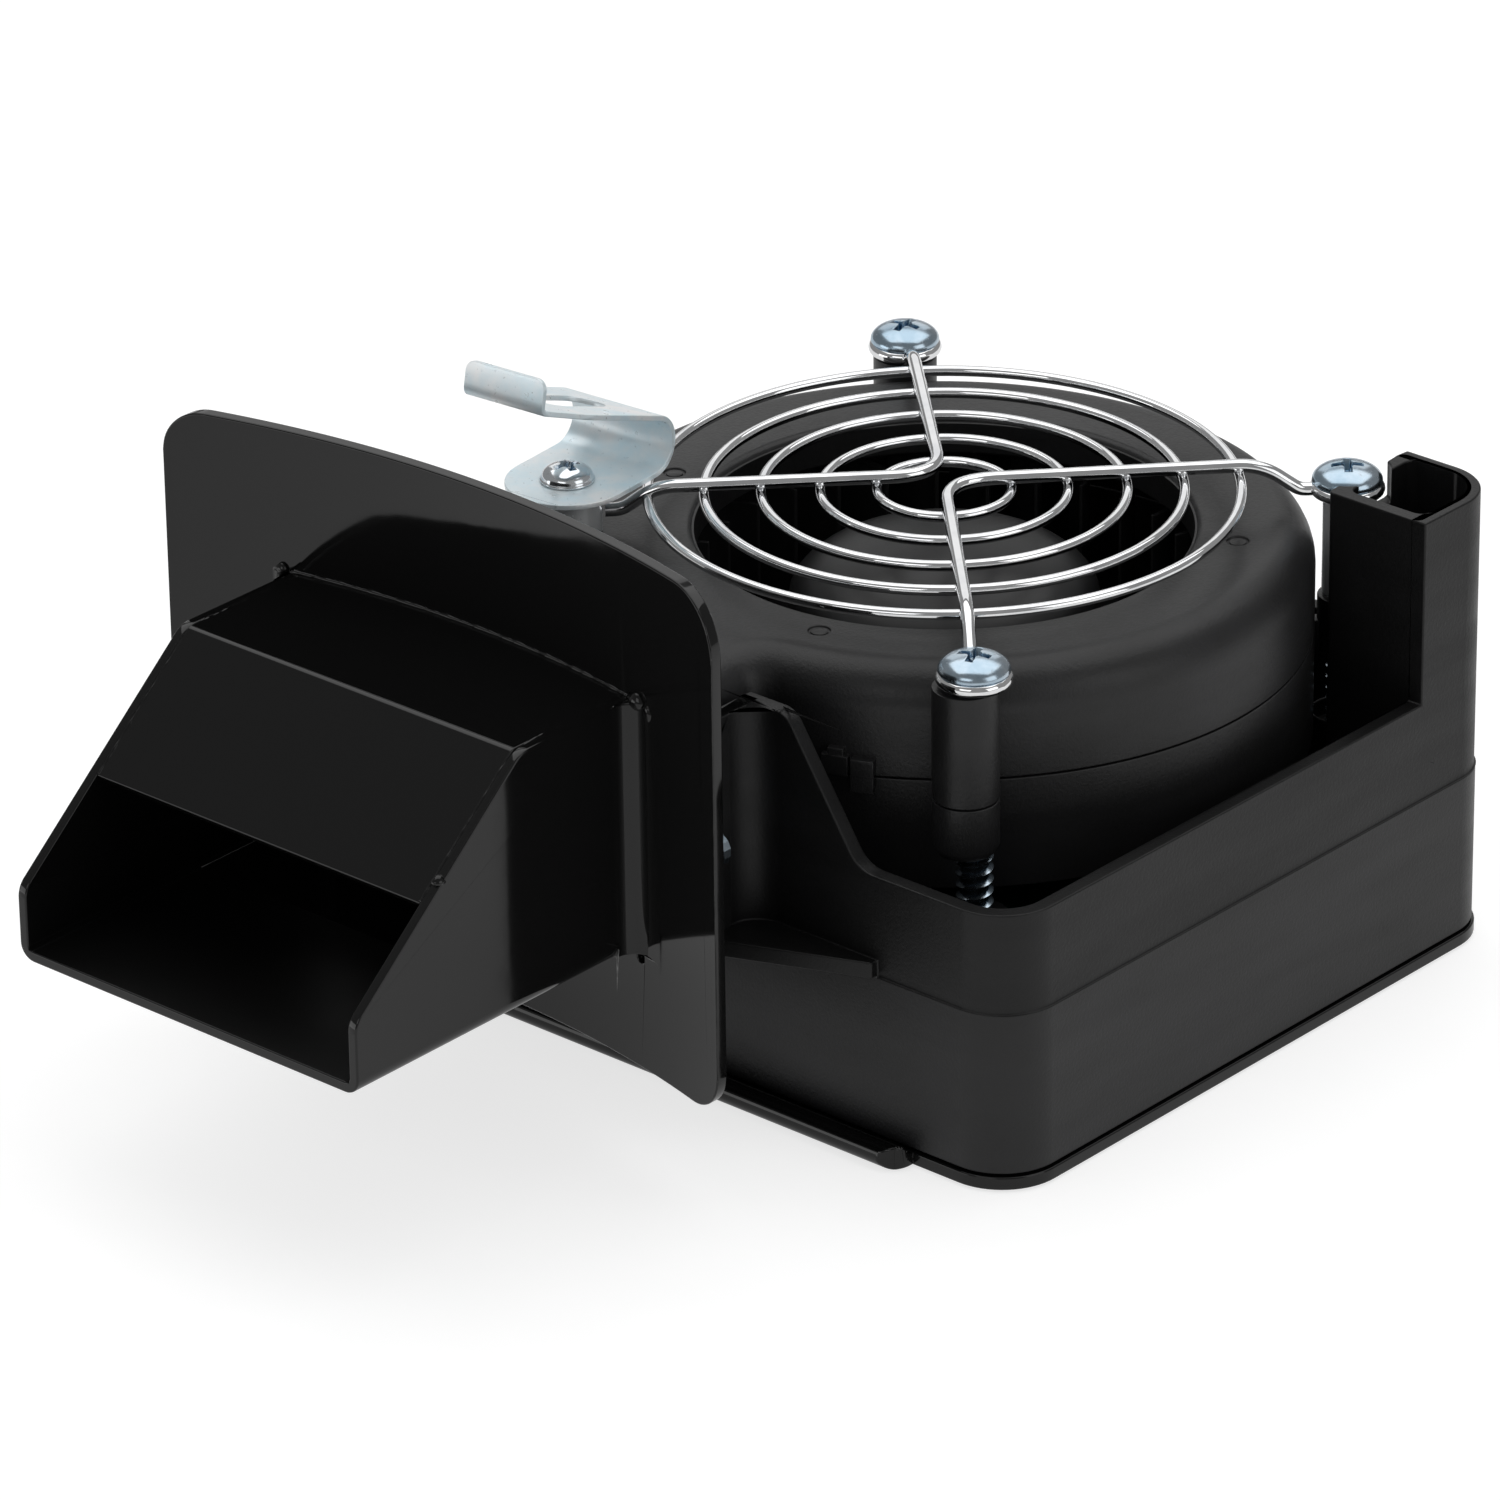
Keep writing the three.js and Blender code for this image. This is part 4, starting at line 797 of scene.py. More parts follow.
def drum_cover():
    """Upper half of the drum: inlet with its lip, two screw posts, latch and ejector pin marks."""
    lead = INLET + 1.4
    mouth = [(0, 50), (INLET, 50), (INLET, 64.6), (INLET + 0.5, 65.5), (lead, 66.01), (lead, 80), (0, 80)]
    cover = cut(
        domed_scroll("drum_cover", 0, DRUM_FILLET, PARTING_HIGH, DRUM_TOP, DUCT_END),
        domed_scroll("hollow", DRUM_WALL, DRUM_FILLET - 2, 40, DRUM_TOP - DRUM_WALL, DUCT_END - 5),
        turned("mouth", mouth, segments=160),
    )
    cover = cut(cover, *[rod("pin_mark", 1.6, DRUM_TOP - 0.35, 70, at, 24) for at in PIN_MARKS])
    soften(cover, 0.25, 2)
    parts = [ring("inlet_lip", INLET - 0.02, INLET + 1.6, 60.5, 65.2, segments=160)]
    for p, screw in ((FRONT_POST, FRONT), (BACK, BACK)):
        post = rod("post", BOSS, PARTING_HIGH, POST_TOP, p.xy, 64)
        post = cut(post, rod("hole", PILOT, 40, SKY, screw.xy, 48))
        parts += [post, boss_web(p, PARTING_HIGH, 60)]
    parts.append(rod("clip_post", 4, 56, DRUM_TOP - 0.5, CLIP.xy))
    parts += latch()
    dots = [rod("pin", 1.25, DRUM_TOP - 0.5, DRUM_TOP - 0.12, at, 24) for at in PIN_MARKS]
    details = soften(gather("details", parts + dots), 0.2, 2)
    for obj in (cover, details):
        obj.modifiers.clear()
    return smooth(gather("drum_cover", [cover, details]))


def drum_lower():
    """Lower half of the drum: screw bosses, the right-hand ear and the motor's tube."""
    lower = cut(
        prism("drum_lower", scroll(0), LOWER_LOW.z, PARTING_LOW),
        prism("hollow", scroll(DRUM_WALL, DUCT_END - 5), LOWER_LOW.z + DRUM_WALL, 60),
    )
    parts = [lower]
    for p, screw in ((FRONT_POST, FRONT), (BACK, BACK)):
        profile = [(0, BOSS_FOOT), (4, BOSS_FOOT), (BOSS, BOSS_FOOT + 1.3)]
        profile += [(BOSS, PARTING_LOW), (0, PARTING_LOW)]
        foot = turned("foot", profile, p.xy, 64)
        foot = cut(foot, rod("hole", PILOT, 30, 60, screw.xy, 48))
        parts += [foot, boss_web(p, BOSS_FOOT + 2, PARTING_LOW)]
    parts.append(ring("ear", PILOT, 4.1, BOSS_FOOT, 51.2, RIGHT.xy))
    parts.append(boss_web(RIGHT, BOSS_FOOT + 1, 47.5))
    parts.append(ring("motor_tube", *MOTOR_TUBE, LOWER_LOW.z, MOTOR_TUBE_TOP))
    return soften(gather("drum_lower", parts), 0.22, 2)


# ---- impeller
BLADES = 30
BLADE_INNER = 35.6
BLADE_OUTER = 43.9
HUB = 22.5  # radius at the foot of the hub's dome
HUB_SHOULDER = 54
HUB_RISE = 9.2


def blade(bearing):
    """A forward-curved blade, thicker in the middle."""
    sweep = radians(9)
    half = 0.42
    steps = 8
    front, back = [], []
    for i in range(steps + 1):
        t = i / steps
        radius = BLADE_INNER + (BLADE_OUTER - BLADE_INNER) * t
        angle = bearing + sweep * t * t
        turn = half * (0.7 + 0.6 * sin(pi * t)) / radius
        front.append((radius * cos(angle - turn), radius * sin(angle - turn)))
        back.insert(0, (radius * cos(angle + turn), radius * sin(angle + turn)))
    return prism("blade", front + back, 40, 58)


def wheel():
    """Domed hub, lower disc, upper rim and the ring of blades."""
    hub = [(20.3, 38.4), (24, 38.4), (23.4, 42), (22.9, 48), (HUB, HUB_SHOULDER)]
    for i in range(13):
        turn = pi / 2 * i / 12
        hub.append((HUB * cos(turn), HUB_SHOULDER + HUB_RISE * sin(turn)))
    hub[-1] = (0, WHEEL_TOP)
    inside = [(0, 59.6), (17, 59), (20.3, 57), (20.3, 38.4)]
    parts = [turned("hub", hub + inside, segments=96)]
    parts.append(ring("disc", 21.5, 44.4, 38.5, 40.3, segments=128))
    parts.append(ring("rim", 41.5, 44.45, 57.8, 59.2, segments=128))
    parts += [blade(2 * pi * i / BLADES) for i in range(BLADES)]
    return soften(gather("fan_wheel_detail", parts), 0.15, 2)


# ---- guard
RING_RADII = (9.65, 17.8, 26.3, 34.5, 42.6)
RING_WIRE = 0.8
RING_Z = 70.7
SPOKE_WIRE = 1.0
SPOKE_Z = 72.2
SPOKE_DROP = 12.6  # a spoke starts down towards its eyelet this far from the screw
EYELET = 4.5
EYELET_Z = 68.0
WIRE_END = 5.3  # the last spoke stops this far from the clip's screw, beside its sleeve
WIRE_END_Z = 68.9


def rounded_path(points, reaches, steps=12):
    """Points along straight runs joined by smooth bends; a bend starts its reach before the corner."""
    points = [Vector(p) for p in points]
    if not isinstance(reaches, list):
        reaches = [reaches] * (len(points) - 2)
    path = [points[0]]
    for a, b, c, wanted in zip(points, points[1:], points[2:], reaches):
        reach = min(wanted, (b - a).length / 2.05, (c - b).length / 2.05)
        start = b + (a - b).normalized() * reach
        end = b + (c - b).normalized() * reach
        for i in range(steps + 1):
            t = i / steps
            path.append(start * (1 - t) ** 2 + b * 2 * t * (1 - t) + end * t ** 2)
    path.append(points[-1])
    return path


def spoke(first, corner, last):
    """A bent spoke; first and last are (screw, height, distance from the screw where the wire ends)."""
    def leg(screw, z, reach):
        along = Vector((screw.x - corner[0], screw.y - corner[1]))
        length = along.length
        along.normalize()
        end = length - reach
        run = ((end, z), (end - 2.4, z), (length - SPOKE_DROP, SPOKE_Z))
        return [(corner[0] + along.x * s, corner[1] + along.y * s, height) for s, height in run]

    path = leg(*first) + [(corner[0], corner[1], SPOKE_Z)] + leg(*last)[::-1]
    return tube("spoke", rounded_path(path, [4.4, 4.4, 7.5, 4.4, 4.4], 16), SPOKE_WIRE, 14)


def guard_wires():
    """Five rings, three eyelets and the two spokes, as one welded guard."""
    parts = [hoop("ring", r, RING_WIRE, RING_Z) for r in RING_RADII]
    parts += [hoop("eyelet", EYELET, SPOKE_WIRE, EYELET_Z, p.xy, 48) for p in (FRONT, BACK, RIGHT)]
    parts.append(spoke((BACK, EYELET_Z, EYELET), (-1.4, 1.1), (CLIP, WIRE_END_Z, WIRE_END)))
    parts.append(spoke((RIGHT, EYELET_Z, EYELET), (0.2, -0.3), (FRONT, EYELET_Z, EYELET)))
    return smooth(gather("guard_wires", parts), 60)


# ---- screws and sleeves
def cross_recess(at, z, reach, depth, turn):
    """Cutters for a cross recess whose wings narrow as they go down."""
    tools = []
    for quarter in range(2):
        top, low = reach * 1.12, reach * 0.45
        loops = []
        for wing, half, height in ((low, 0.3, z - depth), (reach, 0.55, z - 0.3), (top, 0.65, z + 2)):
            plan = ((-wing, -half), (wing, -half), (wing, half), (-wing, half))
            loops.append([(x, y, height) for x, y in plan])
        tool = loft("wing", loops)
        spin = Matrix.Rotation(radians(turn + 90 * quarter), 4, "Z")
        tool.data.transform(Matrix.Translation(Vector((at[0], at[1], 0)) * MM) @ spin)
        tools.append(tool)
    pit = turned("pit", [(0, z - depth - 0.2), (0.9, z - depth + 0.5), (1.25, z + 2), (0, z + 2)], at, 24)
    return tools + [pit]


def thread(at, low, high, core, crest, pitch):
    """A helical thread ridge."""
    per_turn = 36
    count = int((high - low) / pitch * per_turn)
    loops = []
    for i in range(count + 1):
        angle = 2 * pi * i / per_turn
        z = low + (high - low) * i / count
        fade = min(1, i / 12, (count - i) / 12)
        peak = core + (crest - core) * fade
        root = core - 0.2
        section = [(root, z - pitch * 0.34), (peak, z - 0.05), (peak, z + 0.12), (root, z + pitch * 0.34)]
        loops.append(swung(section, angle, at))
    return loft("thread", loops)


def dome(radius, low, rise, steps=12):
    """Profile of a domed head, from its edge to the axis."""
    turns = [pi / 2 * i / steps for i in range(steps)]
    return [(radius * cos(t), low + rise * sin(t)) for t in turns] + [(0, low + rise)]


HEAD = 5.15
HEAD_HEIGHT = 2.75
SHANK = 2.05
THREAD_CREST = 2.68
THREAD_PITCH = 1.75
THREAD_TOP = 41.2
PAN_HEIGHT = 2.5
PAN_SHANK = 1.9


def truss_screw(name, node, turn):
    """Long screw with a wide domed head; turn is the bearing of its cross recess in degrees."""
    low, high = box_mm(node)
    at = (low + high).xy / 2
    seat = high.z - HEAD_HEIGHT
    profile = [(0, low.z), (1.2, low.z), (SHANK, low.z + 1.5), (SHANK, seat + 0.02)]
    profile += [(HEAD - 0.2, seat), (HEAD, seat + 0.12)]
    profile += dome(HEAD, seat + 0.22, 2.53)
    head = cut(turned("head", profile, at, 96), *cross_recess(at, high.z, 2.35, 1.7, turn))
    soften(head, 0.08, 2, 38)
    head.modifiers.clear()
    ridge = thread(at, low.z + 1, THREAD_TOP, SHANK, THREAD_CREST, THREAD_PITCH)
    return smooth(gather(name, [head, ridge]))


def pan_screw():
    """The clip's screw: a higher, smaller head with a short upright edge."""
    low, high = box_mm("clip_screw")
    at = CLIP.xy
    seat = high.z - PAN_HEIGHT
    profile = [(0, low.z), (PAN_SHANK, low.z + 1), (PAN_SHANK, seat)]
    profile += [(3.9, seat), (4, seat + 0.1), (4, seat + 0.3), (3.85, seat + 0.42)]
    profile += dome(3.8, seat + 0.5, 2.0)
    head = cut(turned("head", profile, at, 96), *cross_recess(at, high.z, 2.0, 1.5, 70))
    soften(head, 0.08, 2, 38)
    head.name = "pan_screw"
    return head


def sleeve(name, node, bore):
    low, high = box_mm(node)
    outer = (high.y - low.y) / 2
    return soften(ring(name, bore, outer, low.z, high.z, (low + high).xy / 2, 72), 0.25, 3)


# ---- spring clip
STRIP = 0.8
STRIP_HALF = 9.0
CLIP_TURN = radians(5)  # the clip is turned this much on its screw
CLIP_BEND = 4.3
CLIP_BEND_AT = 9.3  # from the screw to the start of the bend, along the strip
LEAF_TILT = radians(20.2)
LEAF = 26.7
TAPER = 8.0
SLOT = (4.2, 19.1)  # ends of the slot, from the start of the leaf
SLOT_HALF = 3.4
TAB_INSET = 2.0
TAB_BEND = 0.9
TAB_LENGTH = 4.1
TAB_TURN = pi - LEAF_TILT - radians(90 - 12)


def clip_runs():
    """The strip's side view as straight and curved runs: (length, turn)."""
    bend = pi - LEAF_TILT
    leaf = LEAF - TAB_BEND * tan(TAB_TURN / 2)
    foot = STRIP_HALF + CLIP_BEND_AT
    return [(foot, 0), (CLIP_BEND * bend, bend), (leaf, 0), (TAB_BEND * TAB_TURN, -TAB_TURN), (TAB_LENGTH, 0)]


def clip_point(distance):
    """Place (y, z) and heading of the strip's middle at a distance from the foot's end."""
    y, z, heading = CLIP.y - STRIP_HALF, FOOT_LOW.z + STRIP / 2, 0.0
    for length, turn in clip_runs():
        run = min(distance, length)
        distance -= run
        if turn:
            radius = length / turn
            swept = run / radius
            y += radius * (sin(heading + swept) - sin(heading))
            z -= radius * (cos(heading + swept) - cos(heading))
            heading += swept
        else:
            y += run * cos(heading)
            z += run * sin(heading)
        if distance <= 0:
            break
    return y, z, heading


def clip_strip():
    """Cuts the strip flat, bends it to its side view, then turns it on its screw."""
    total = sum(length for length, _ in clip_runs())
    left, right = CLIP.x - STRIP_HALF, CLIP.x + STRIP_HALF
    low, high = -STRIP / 2, STRIP / 2
    steps = 110
    loops = []
    for i in range(steps + 1):
        s = total * i / steps
        loops.append([(left - 1, s, low), (right + 1, s, low), (right + 1, s, high), (left - 1, s, high)])
    strip = loft("clip_strip", loops)
    leaf_start = sum(length for length, _ in clip_runs()[:2])
    leaf_end = leaf_start + clip_runs()[2][0]
    tab_left, tab_right, end = left + TAB_INSET, right - TAB_INSET, total - 0.01
    corners = [(left, 0.01), (right, 0.01), (right, leaf_end - TAPER), (tab_right, leaf_end)]
    corners += [(tab_right, end), (tab_left, end), (tab_left, leaf_end), (left, leaf_end - TAPER)]
    plan = rounded(corners, [8.9, 8.9, 8, 4, 1.6, 1.6, 4, 8], 16)
    strip = keep(strip, prism("plan", plan, -1, 1))
    slot_ends = (leaf_start + SLOT[0], leaf_start + SLOT[1])
    slot = rectangle(CLIP.x - SLOT_HALF, CLIP.x + SLOT_HALF, *slot_ends, 3.3, 12)
    hole = rod("hole", 2.3, -1, 1, (CLIP.x, STRIP_HALF), 32)
    strip = cut(strip, prism("slot", slot, -1, 1), hole)
    soften(strip, 0.12, 2, 50)
    strip.modifiers.clear()
    for vertex in strip.data.vertices:
        x, s, h = vertex.co / MM
        y, z, heading = clip_point(s)
        vertex.co = Vector((x, y - h * sin(heading), z + h * cos(heading))) * MM
    axis = Vector((CLIP.x, CLIP.y, 0)) * MM
    turn = Matrix.Rotation(CLIP_TURN, 4, "Z")
    strip.data.transform(Matrix.Translation(axis) @ turn @ Matrix.Translation(-axis))
    return smooth(strip, 50)


# ---- curved plate and snout
def plate_y(x, radius):
    """Y of the plate's face of that radius."""
    return PLATE_CENTRE[1] + sqrt(radius ** 2 - (x - PLATE_CENTRE[0]) ** 2)


def plate_band(z0, z1):
    """A curved band of sheet, wider than the plate."""
    half = asin((PLATE_HIGH.x - PLATE_CENTRE[0] + 2) / PLATE_FRONT)
    cx, cy = PLATE_CENTRE
    mid = pi / 2
    steps = 98  # keeps the facets' edges clear of the opening's edges
    outline = arc(cx, cy, PLATE_BACK, mid - half, mid + half, steps)
    outline += arc(cx, cy, PLATE_FRONT, mid + half, mid - half, steps)
    return prism("band", outline, z0, z1)


def channel():
    """Bottom sheet and side walls of the snout, one sheet bent to a U."""
    def section(inset, top, bend, steps):
        left, right, low = WALL_LEFT + inset, WALL_RIGHT - inset, SNOUT_LOW + inset
        return rounded([(left, low), (right, low), (right, top), (left, top)], [bend, bend, 0, 0], steps)

    outer = section(0, SNOUT_HIGH + 5, BOTTOM_BEND, 10)
    inner = section(SHEET, SKY, BOTTOM_BEND - SHEET, 6)
    sheet = cut(prism("channel", outer, SNOUT_FRONT, -74, "Y"), prism("inside", inner, -140, -60, "Y"))
    front, under = SNOUT_FRONT + 0.01, SNOUT_LOW - 1
    side = [(SHEET_END, under), (front, under), (front, SNOUT_LIP)]
    side += [(SNOUT_BEND, SNOUT_HIGH), (SHEET_END, SNOUT_HIGH)]
    side = prism("side", rounded(side, [0, 0, 3.5, 4.5, 0]), WALL_LEFT - 1, WALL_RIGHT + 1, "X")
    return keep(sheet, side, rod("reach", PLATE_FRONT + 0.8, 20, 99, PLATE_CENTRE, 720))


def bend_fillet(side):
    """Round inside corner where a side wall is bent out of the plate."""
    wall = WALL_RIGHT if side > 0 else WALL_LEFT
    centre_x = wall + side * BEND_FILLET
    y = plate_y(centre_x, PLATE_FRONT)
    centre_y = y - BEND_FILLET
    x0, x1 = sorted((wall - side * 1.2, centre_x))
    body = block("fillet", (x0, x1), (centre_y, y + 1.7), (SNOUT_LOW + 0.6, SNOUT_HIGH - 0.01))
    return cut(body, rod("round", BEND_FILLET, 0, 99, (centre_x, centre_y), 96))


def follow_curve(obj):
    """Gives the plate's two curved faces the exact normals of a cylinder."""
    bake(obj)
    mesh = obj.data
    normals = [corner.vector.copy() for corner in mesh.corner_normals]
    axis = Vector(PLATE_CENTRE) * MM
    spokes = [Vector(v.co.xy) - axis for v in mesh.vertices]
    for face in mesh.polygons:
        for radius, way in ((PLATE_FRONT, -1), (PLATE_BACK, 1)):
            near = max(abs(spokes[i].length / MM - radius) for i in face.vertices) < CURVE_SLACK
            if not near or abs(face.normal.z) > 0.1:
                continue
            for loop in face.loop_indices:
                out = spokes[mesh.loops[loop].vertex_index].normalized()
                normals[loop] = Vector((out.x, out.y, 0)) * way
    mesh.normals_split_custom_set([tuple(n) for n in normals])
    return obj


def plate_sheet():
    """The curved plate with the snout's channel bent out of it."""
    cx = PLATE_CENTRE[0]
    half = PLATE_HIGH.x - cx
    window = rectangle(cx - half, cx + half, PLATE_LOW.z, PLATE_HIGH.z - 0.4, PLATE_CORNERS, 16)
    plate = keep(plate_band(PLATE_LOW.z, PLATE_HIGH.z), prism("window", window, -120, -60, "Y"))
    inner = (WALL_LEFT + SHEET, WALL_RIGHT - SHEET)
    plate = cut(plate, block("opening", inner, (-110, -60), (SNOUT_LOW - 0.3, SNOUT_HIGH + 0.3)))
    relief = prism("relief", circle(WALL_RIGHT + 1.2, SNOUT_LOW - 0.2, 0.8, 24), -110, -60, "Y")
    plate = cut(fuse(plate, channel(), bend_fillet(1), bend_fillet(-1)), relief)
    plate.name = "plate_sheet"
    return follow_curve(soften(plate, 0.3, 3))


def snout_roof():
    """Top sheet: flat run, bend, slanted panel that ends at the mouth."""
    outer = [(SHEET_END, SNOUT_HIGH), (SNOUT_BEND, SNOUT_HIGH), (TOP_LOW.y + 0.1, TOP_LOW.z + 1.2)]
    slope = Vector((outer[1][0] - outer[2][0], outer[1][1] - outer[2][1])).normalized()
    inward = Vector((slope.y, -slope.x)) * SHEET
    tip = (outer[2][0] + inward.x, outer[2][1] + inward.y)
    under = SNOUT_HIGH - SHEET
    inner = [tip, (SNOUT_BEND + 0.7, under), (SHEET_END, under)]
    outline = rounded(outer + inner, [0, 1.5, 0, 0, 0.6, 0])
    roof = prism("snout_roof", outline, TOP_LOW.x - ROOF_OVERLAP, TOP_HIGH.x + ROOF_OVERLAP, "X")
    return soften(keep(roof, rod("reach", PLATE_BACK, 20, 99, PLATE_CENTRE, 400)), 0.25, 3)


def lumpy(seed, base, swing):
    """A repeatable uneven radius along a weld, as a function of the share of its length."""
    def radius(t):
        slow, quick = sin(t * 61 + seed), sin(t * 147 + 2 * seed)
        return base + swing * (slow * 0.5 + quick * 0.3 + sin(t * 313) * 0.2)

    return radius


def weld_seams():
    """Thin uneven welds where the roof meets the plate and the side walls."""
    parts = []
    steps = 150
    x0, x1 = TOP_LOW.x - 1.2, TOP_HIGH.x + 1.2
    xs = [x0 + (x1 - x0) * i / steps for i in range(steps + 1)]
    top = [(x, plate_y(x, PLATE_FRONT) + 0.05, SNOUT_HIGH + 0.1) for x in xs]
    parts.append(tube("seam", top, lumpy(1, 0.34, 0.12), 10))
    for x, seed in ((TOP_LOW.x - 0.2, 3), (TOP_HIGH.x + 0.2, 5)):
        level = SNOUT_HIGH - 0.15
        run = [(TOP_LOW.y + 0.4, TOP_LOW.z + 1.3), (SNOUT_BEND - 1, SNOUT_HIGH - 1.2)]
        run += [(SNOUT_BEND + 3, level), (-80, level)]
        path = rounded_path([(x, y, z) for y, z in run], 3, 8)
        fine = []
        for a, b in zip(path, path[1:]):
            pieces = max(1, int((b - a).length / 0.5))
            fine += [a.lerp(b, i / pieces) for i in range(pieces)]
        parts.append(tube("seam", fine, lumpy(seed, 0.28, 0.08), 8))
    return smooth(gather("weld_seams", parts), 60)


def bead(centre, radius):
    """A smooth drop of weld, flattened on the sheet."""
    bm = bmesh.new()
    bmesh.ops.create_icosphere(bm, subdivisions=4, radius=1)
    for v in bm.verts:
        lump = 1 + 0.07 * sin(v.co.x * 3 + 1) + 0.06 * sin(v.co.z * 4 + 2)
        v.co = Vector(centre) + Vector((v.co.x * radius[0], v.co.y * radius[1], v.co.z * radius[2])) * lump
    return from_bmesh("bead", bm)


def weld_beads():
    """Drops of weld at the top corners of the snout and inside its mouth."""
    def on_plate(x):
        return plate_y(x, PLATE_FRONT)

    right, left = WALL_RIGHT + 1.6, WALL_LEFT - 1.3
    parts = [
        bead((right, on_plate(right) - 0.2, SNOUT_HIGH + 0.2), (1.5, 0.9, 1.3)),
        bead((right + 2.2, on_plate(right + 2.2), SNOUT_HIGH - 1.0), (0.9, 0.5, 1.2)),
        bead((left, on_plate(left) - 0.1, SNOUT_HIGH + 0.3), (1.0, 0.7, 0.9)),
        bead((WALL_RIGHT - 0.9, TOP_LOW.y + 3.2, TOP_LOW.z + 3.7), (1.0, 1.1, 0.8)),
    ]
    return smooth(gather("weld_beads", parts), 80)


# ---- steel base
BASE_SHEET = 2.0
HEM_RADIUS = 1.8


def base_sheet():
    """Flat sheet under the box, with a rolled hem in front whose ends are rounded off."""
    hem_left, hem_right = -43.0, 43.6
    hem_y = BASE_LOW.y + HEM_RADIUS
    sheet = prism("base_sheet", box_outline(-LIP), BASE_LOW.z, BASE_SHEET)
    web = block("web", (hem_left, hem_right), (hem_y, BOX_FRONT + 2), (0.02, BASE_SHEET - 0.02))
    roll = prism("roll", circle(hem_y, HEM_RADIUS, HEM_RADIUS - 0.02, 32), hem_left, hem_right, "X")
    ends = rectangle(hem_left, hem_right, BASE_LOW.y, BOX_FRONT + 4, 4.0, 16)
    hem = keep(fuse(roll, web), prism("ends", ends, -1, 5))
    groove_y = (BOX_FRONT - 1.9, BOX_FRONT - 1.2)
    groove = block("groove", (hem_left + 3, hem_right - 3), groove_y, (1.2, 4))
    return soften(gather("base_sheet", [sheet, cut(hem, groove)]), 0.3, 3)


# ---- build the visible pieces
finish_piece(box_shell(), "housing", BOX_PLASTIC, "box_plastic", "box_housing")
finish_piece(drum_cover(), "housing", DRUM_PLASTIC, "blower_plastic", "blower_cover")
finish_piece(drum_lower(), "housing", DRUM_PLASTIC, "blower_plastic", "blower_lower")
finish_piece(wheel(), "fan_wheel", WHEEL_PLASTIC, "wheel_plastic", "impeller")
finish_piece(guard_wires(), "housing", CHROME, "chrome_wire", "finger_guard")
for node, turn in (("screw_front", 20), ("screw_back", 8), ("screw_right", 42)):
    finish_piece(truss_screw(f"{node}_detail", node, turn), "housing", SCREW_ZINC, "zinc", node)
finish_piece(pan_screw(), "housing", PAN_ZINC, "zinc", "clip_screw")
for node, bore in (("sleeve_right", 2.35), ("sleeve_clip", 2.3)):
    finish_piece(sleeve(f"{node}_detail", node, bore), "housing", SLEEVE_ZINC, "zinc", node)
SHEET_PIECES = [
    (plate_sheet(), "flange_plate", "snout_bottom"), (snout_roof(), "snout_top"),
    (weld_seams(),), (weld_beads(),), (base_sheet(), "base_plate"),
]
for piece, *replaced in SHEET_PIECES:
    finish_piece(piece, "housing", BLACK_SHEET, "black_sheet", *replaced)

strip = clip_strip()
paint(strip, BRIGHT_ZINC)
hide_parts("spring_clip_foot", "spring_clip_arm")
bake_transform(strip)

KEPT = [
    (STEEL, "rotor_cup", "shaft_circlip"),
    (MAGNET, "magnet_ring"),
    (BEARING_STEEL, "motor_shaft", "bearing_lower", "bearing_upper"),
    (LAMINATION, "stator_core"),
    (COPPER, "coil_1", "coil_2", "coil_3", "coil_4"),
    (BOARD, "circuit_board"),
    (COMPONENT, "transformer_block", "capacitor"),
    (RUBBER, "motor_lead", "power_lead"),
    (NYLON, "power_socket"),
    (SCREW_ZINC, "plate_screw_right", "plate_screw_left"),
    (SCREW_ZINC, "base_screw_1", "base_screw_2", "base_screw_3", "base_screw_4"),
]
for finish, *nodes in KEPT:
    for node in nodes:
        smooth(paint(frame["nodes"][node], finish))


# ---- floor, light and camera
def floor():
    size = 6000
    sheet = block("floor", (-size, size), (-size, size), (-20, -0.4))
    paint(sheet, pale_floor())


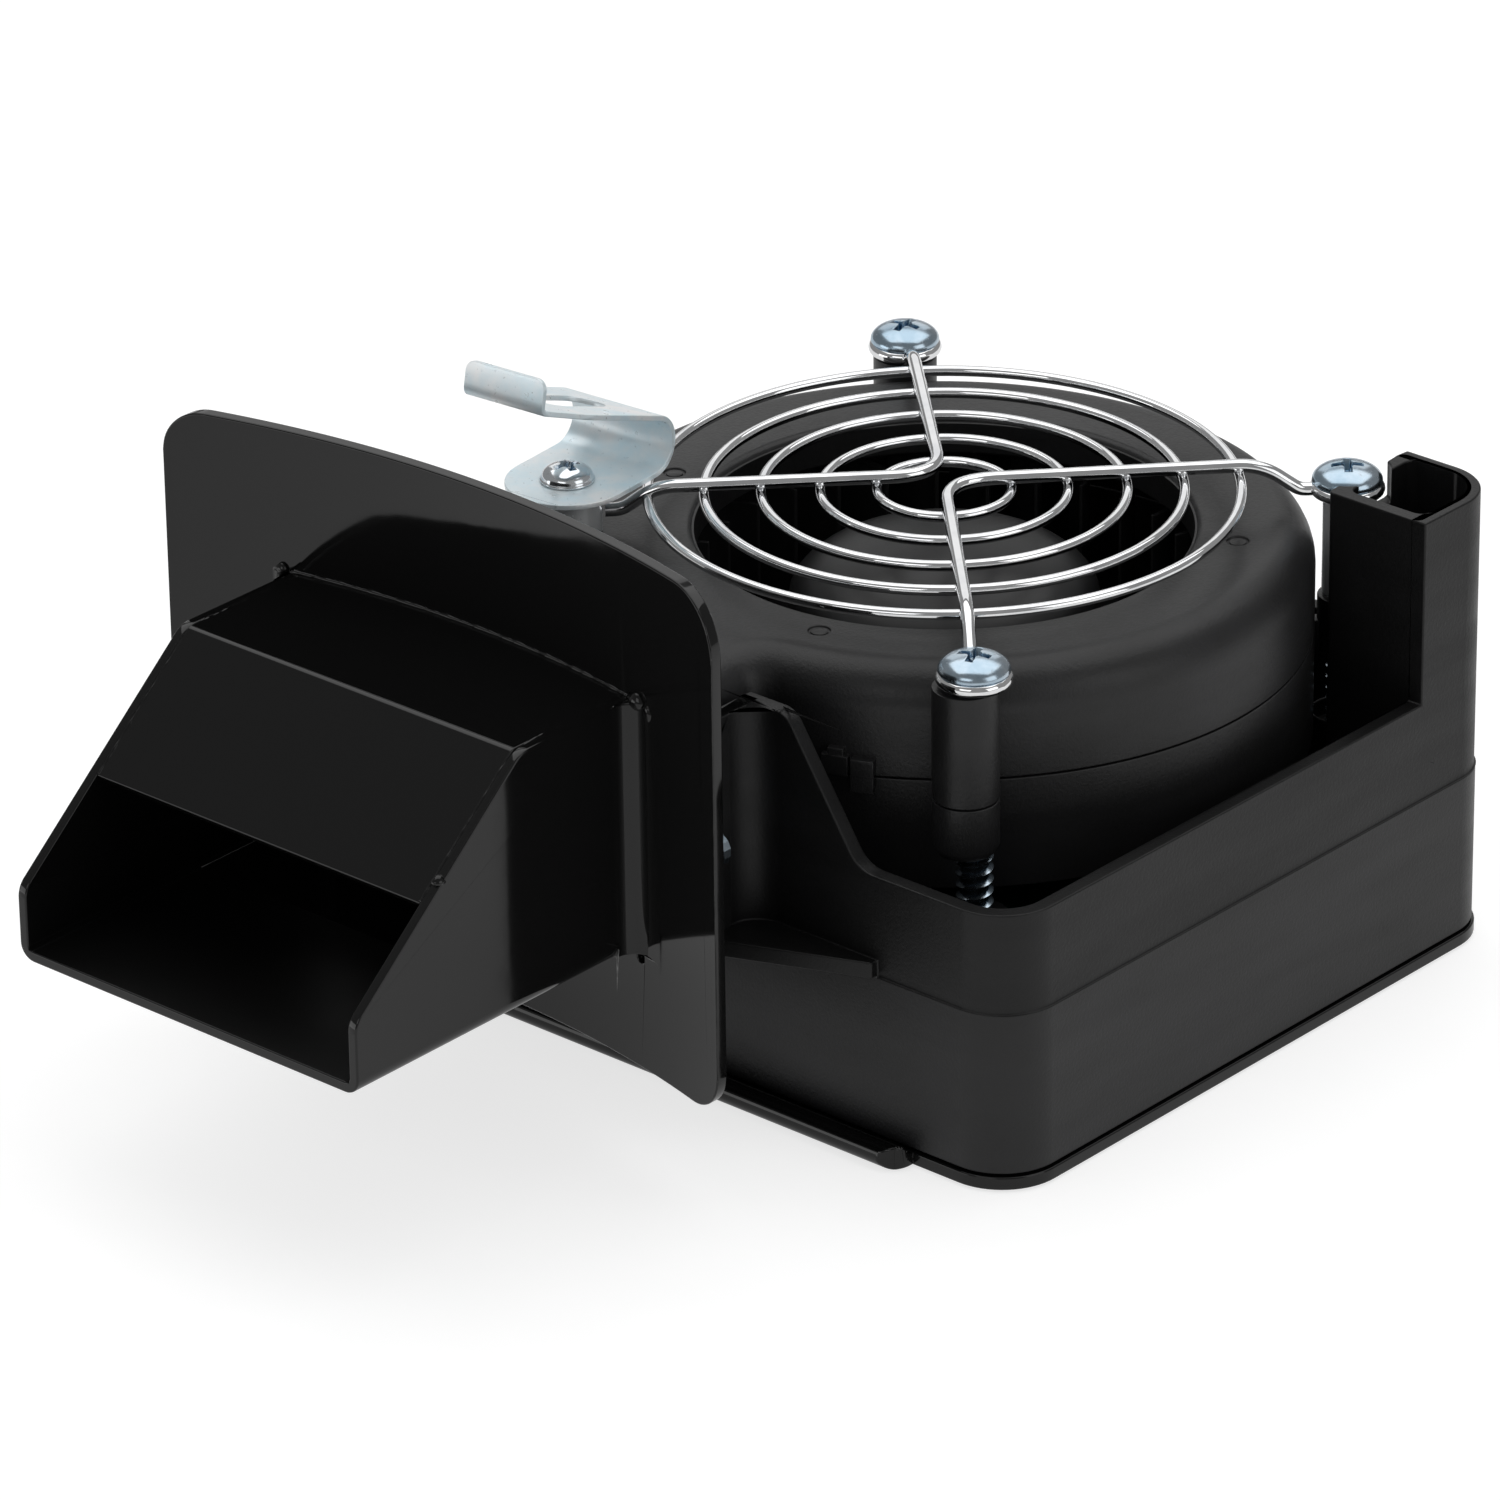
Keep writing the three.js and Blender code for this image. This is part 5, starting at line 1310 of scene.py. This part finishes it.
def softbox(name, place, target, size, power):
    """A rectangular light at a place in metres, turned to its target."""
    light = bpy.data.lights.new(name, "AREA")
    light.shape = "RECTANGLE"
    light.size, light.size_y = size
    light.energy = power
    obj = link(name, light)
    obj.location = place
    obj.rotation_euler = (Vector(target) - Vector(place)).to_track_quat("-Z", "Y").to_euler()


def camera():
    """A long lens, seen from the front right and above."""
    data = bpy.data.cameras.new("camera")
    data.sensor_width = 36
    data.lens = 220.4
    data.clip_end = 50
    obj = link("camera", data)
    right = Vector((0.751128, 0.660052, -0.011769))
    up = Vector((-0.280033, 0.334716, 0.899748))
    back = right.cross(up)
    turn = Matrix((right, up, back)).transposed().to_4x4()
    obj.matrix_world = Matrix.Translation(Vector((777.517, -917.369, 612.361)) * MM) @ turn
    bpy.context.scene.camera = obj


def world():
    """An even dim room; mirror-like surfaces see it dimmer still."""
    scene_world = bpy.data.worlds.new("studio")
    scene_world.use_nodes = True
    tree = scene_world.node_tree
    background = tree.nodes["Background"]
    background.inputs["Color"].default_value = (1, 1, 1, 1)
    path = tree.nodes.new("ShaderNodeLightPath")
    strength = tree.nodes.new("ShaderNodeMapRange")
    strength.inputs["To Min"].default_value = ROOM_LIGHT
    strength.inputs["To Max"].default_value = ROOM_REFLECTION
    tree.links.new(path.outputs["Is Glossy Ray"], strength.inputs["Value"])
    tree.links.new(strength.outputs["Result"], background.inputs["Strength"])
    bpy.context.scene.world = scene_world
    bpy.context.scene.view_settings.view_transform = "Standard"


floor()
softbox("overhead", (-0.25, 0.35, 1.5), (0, 0, 0.03), (2.3, 1.7), 15)
softbox("backdrop", (-1.0, 1.12, 0.74), (0, 0, 0.05), (1.3, 0.75), 2.0)
softbox("right_fill", (1.3, 0.1, 0.6), (0, 0, 0.04), (0.8, 0.9), 2.3)
softbox("tab_glow", (-0.44, -0.745, 0.1), (-0.04, -0.055, 0.09), (0.6, 0.3), 0.85)
softbox("front_fill", (0.35, -1.45, 0.9), (0, -0.05, 0.04), (0.9, 0.6), 2.0)
world()
camera()
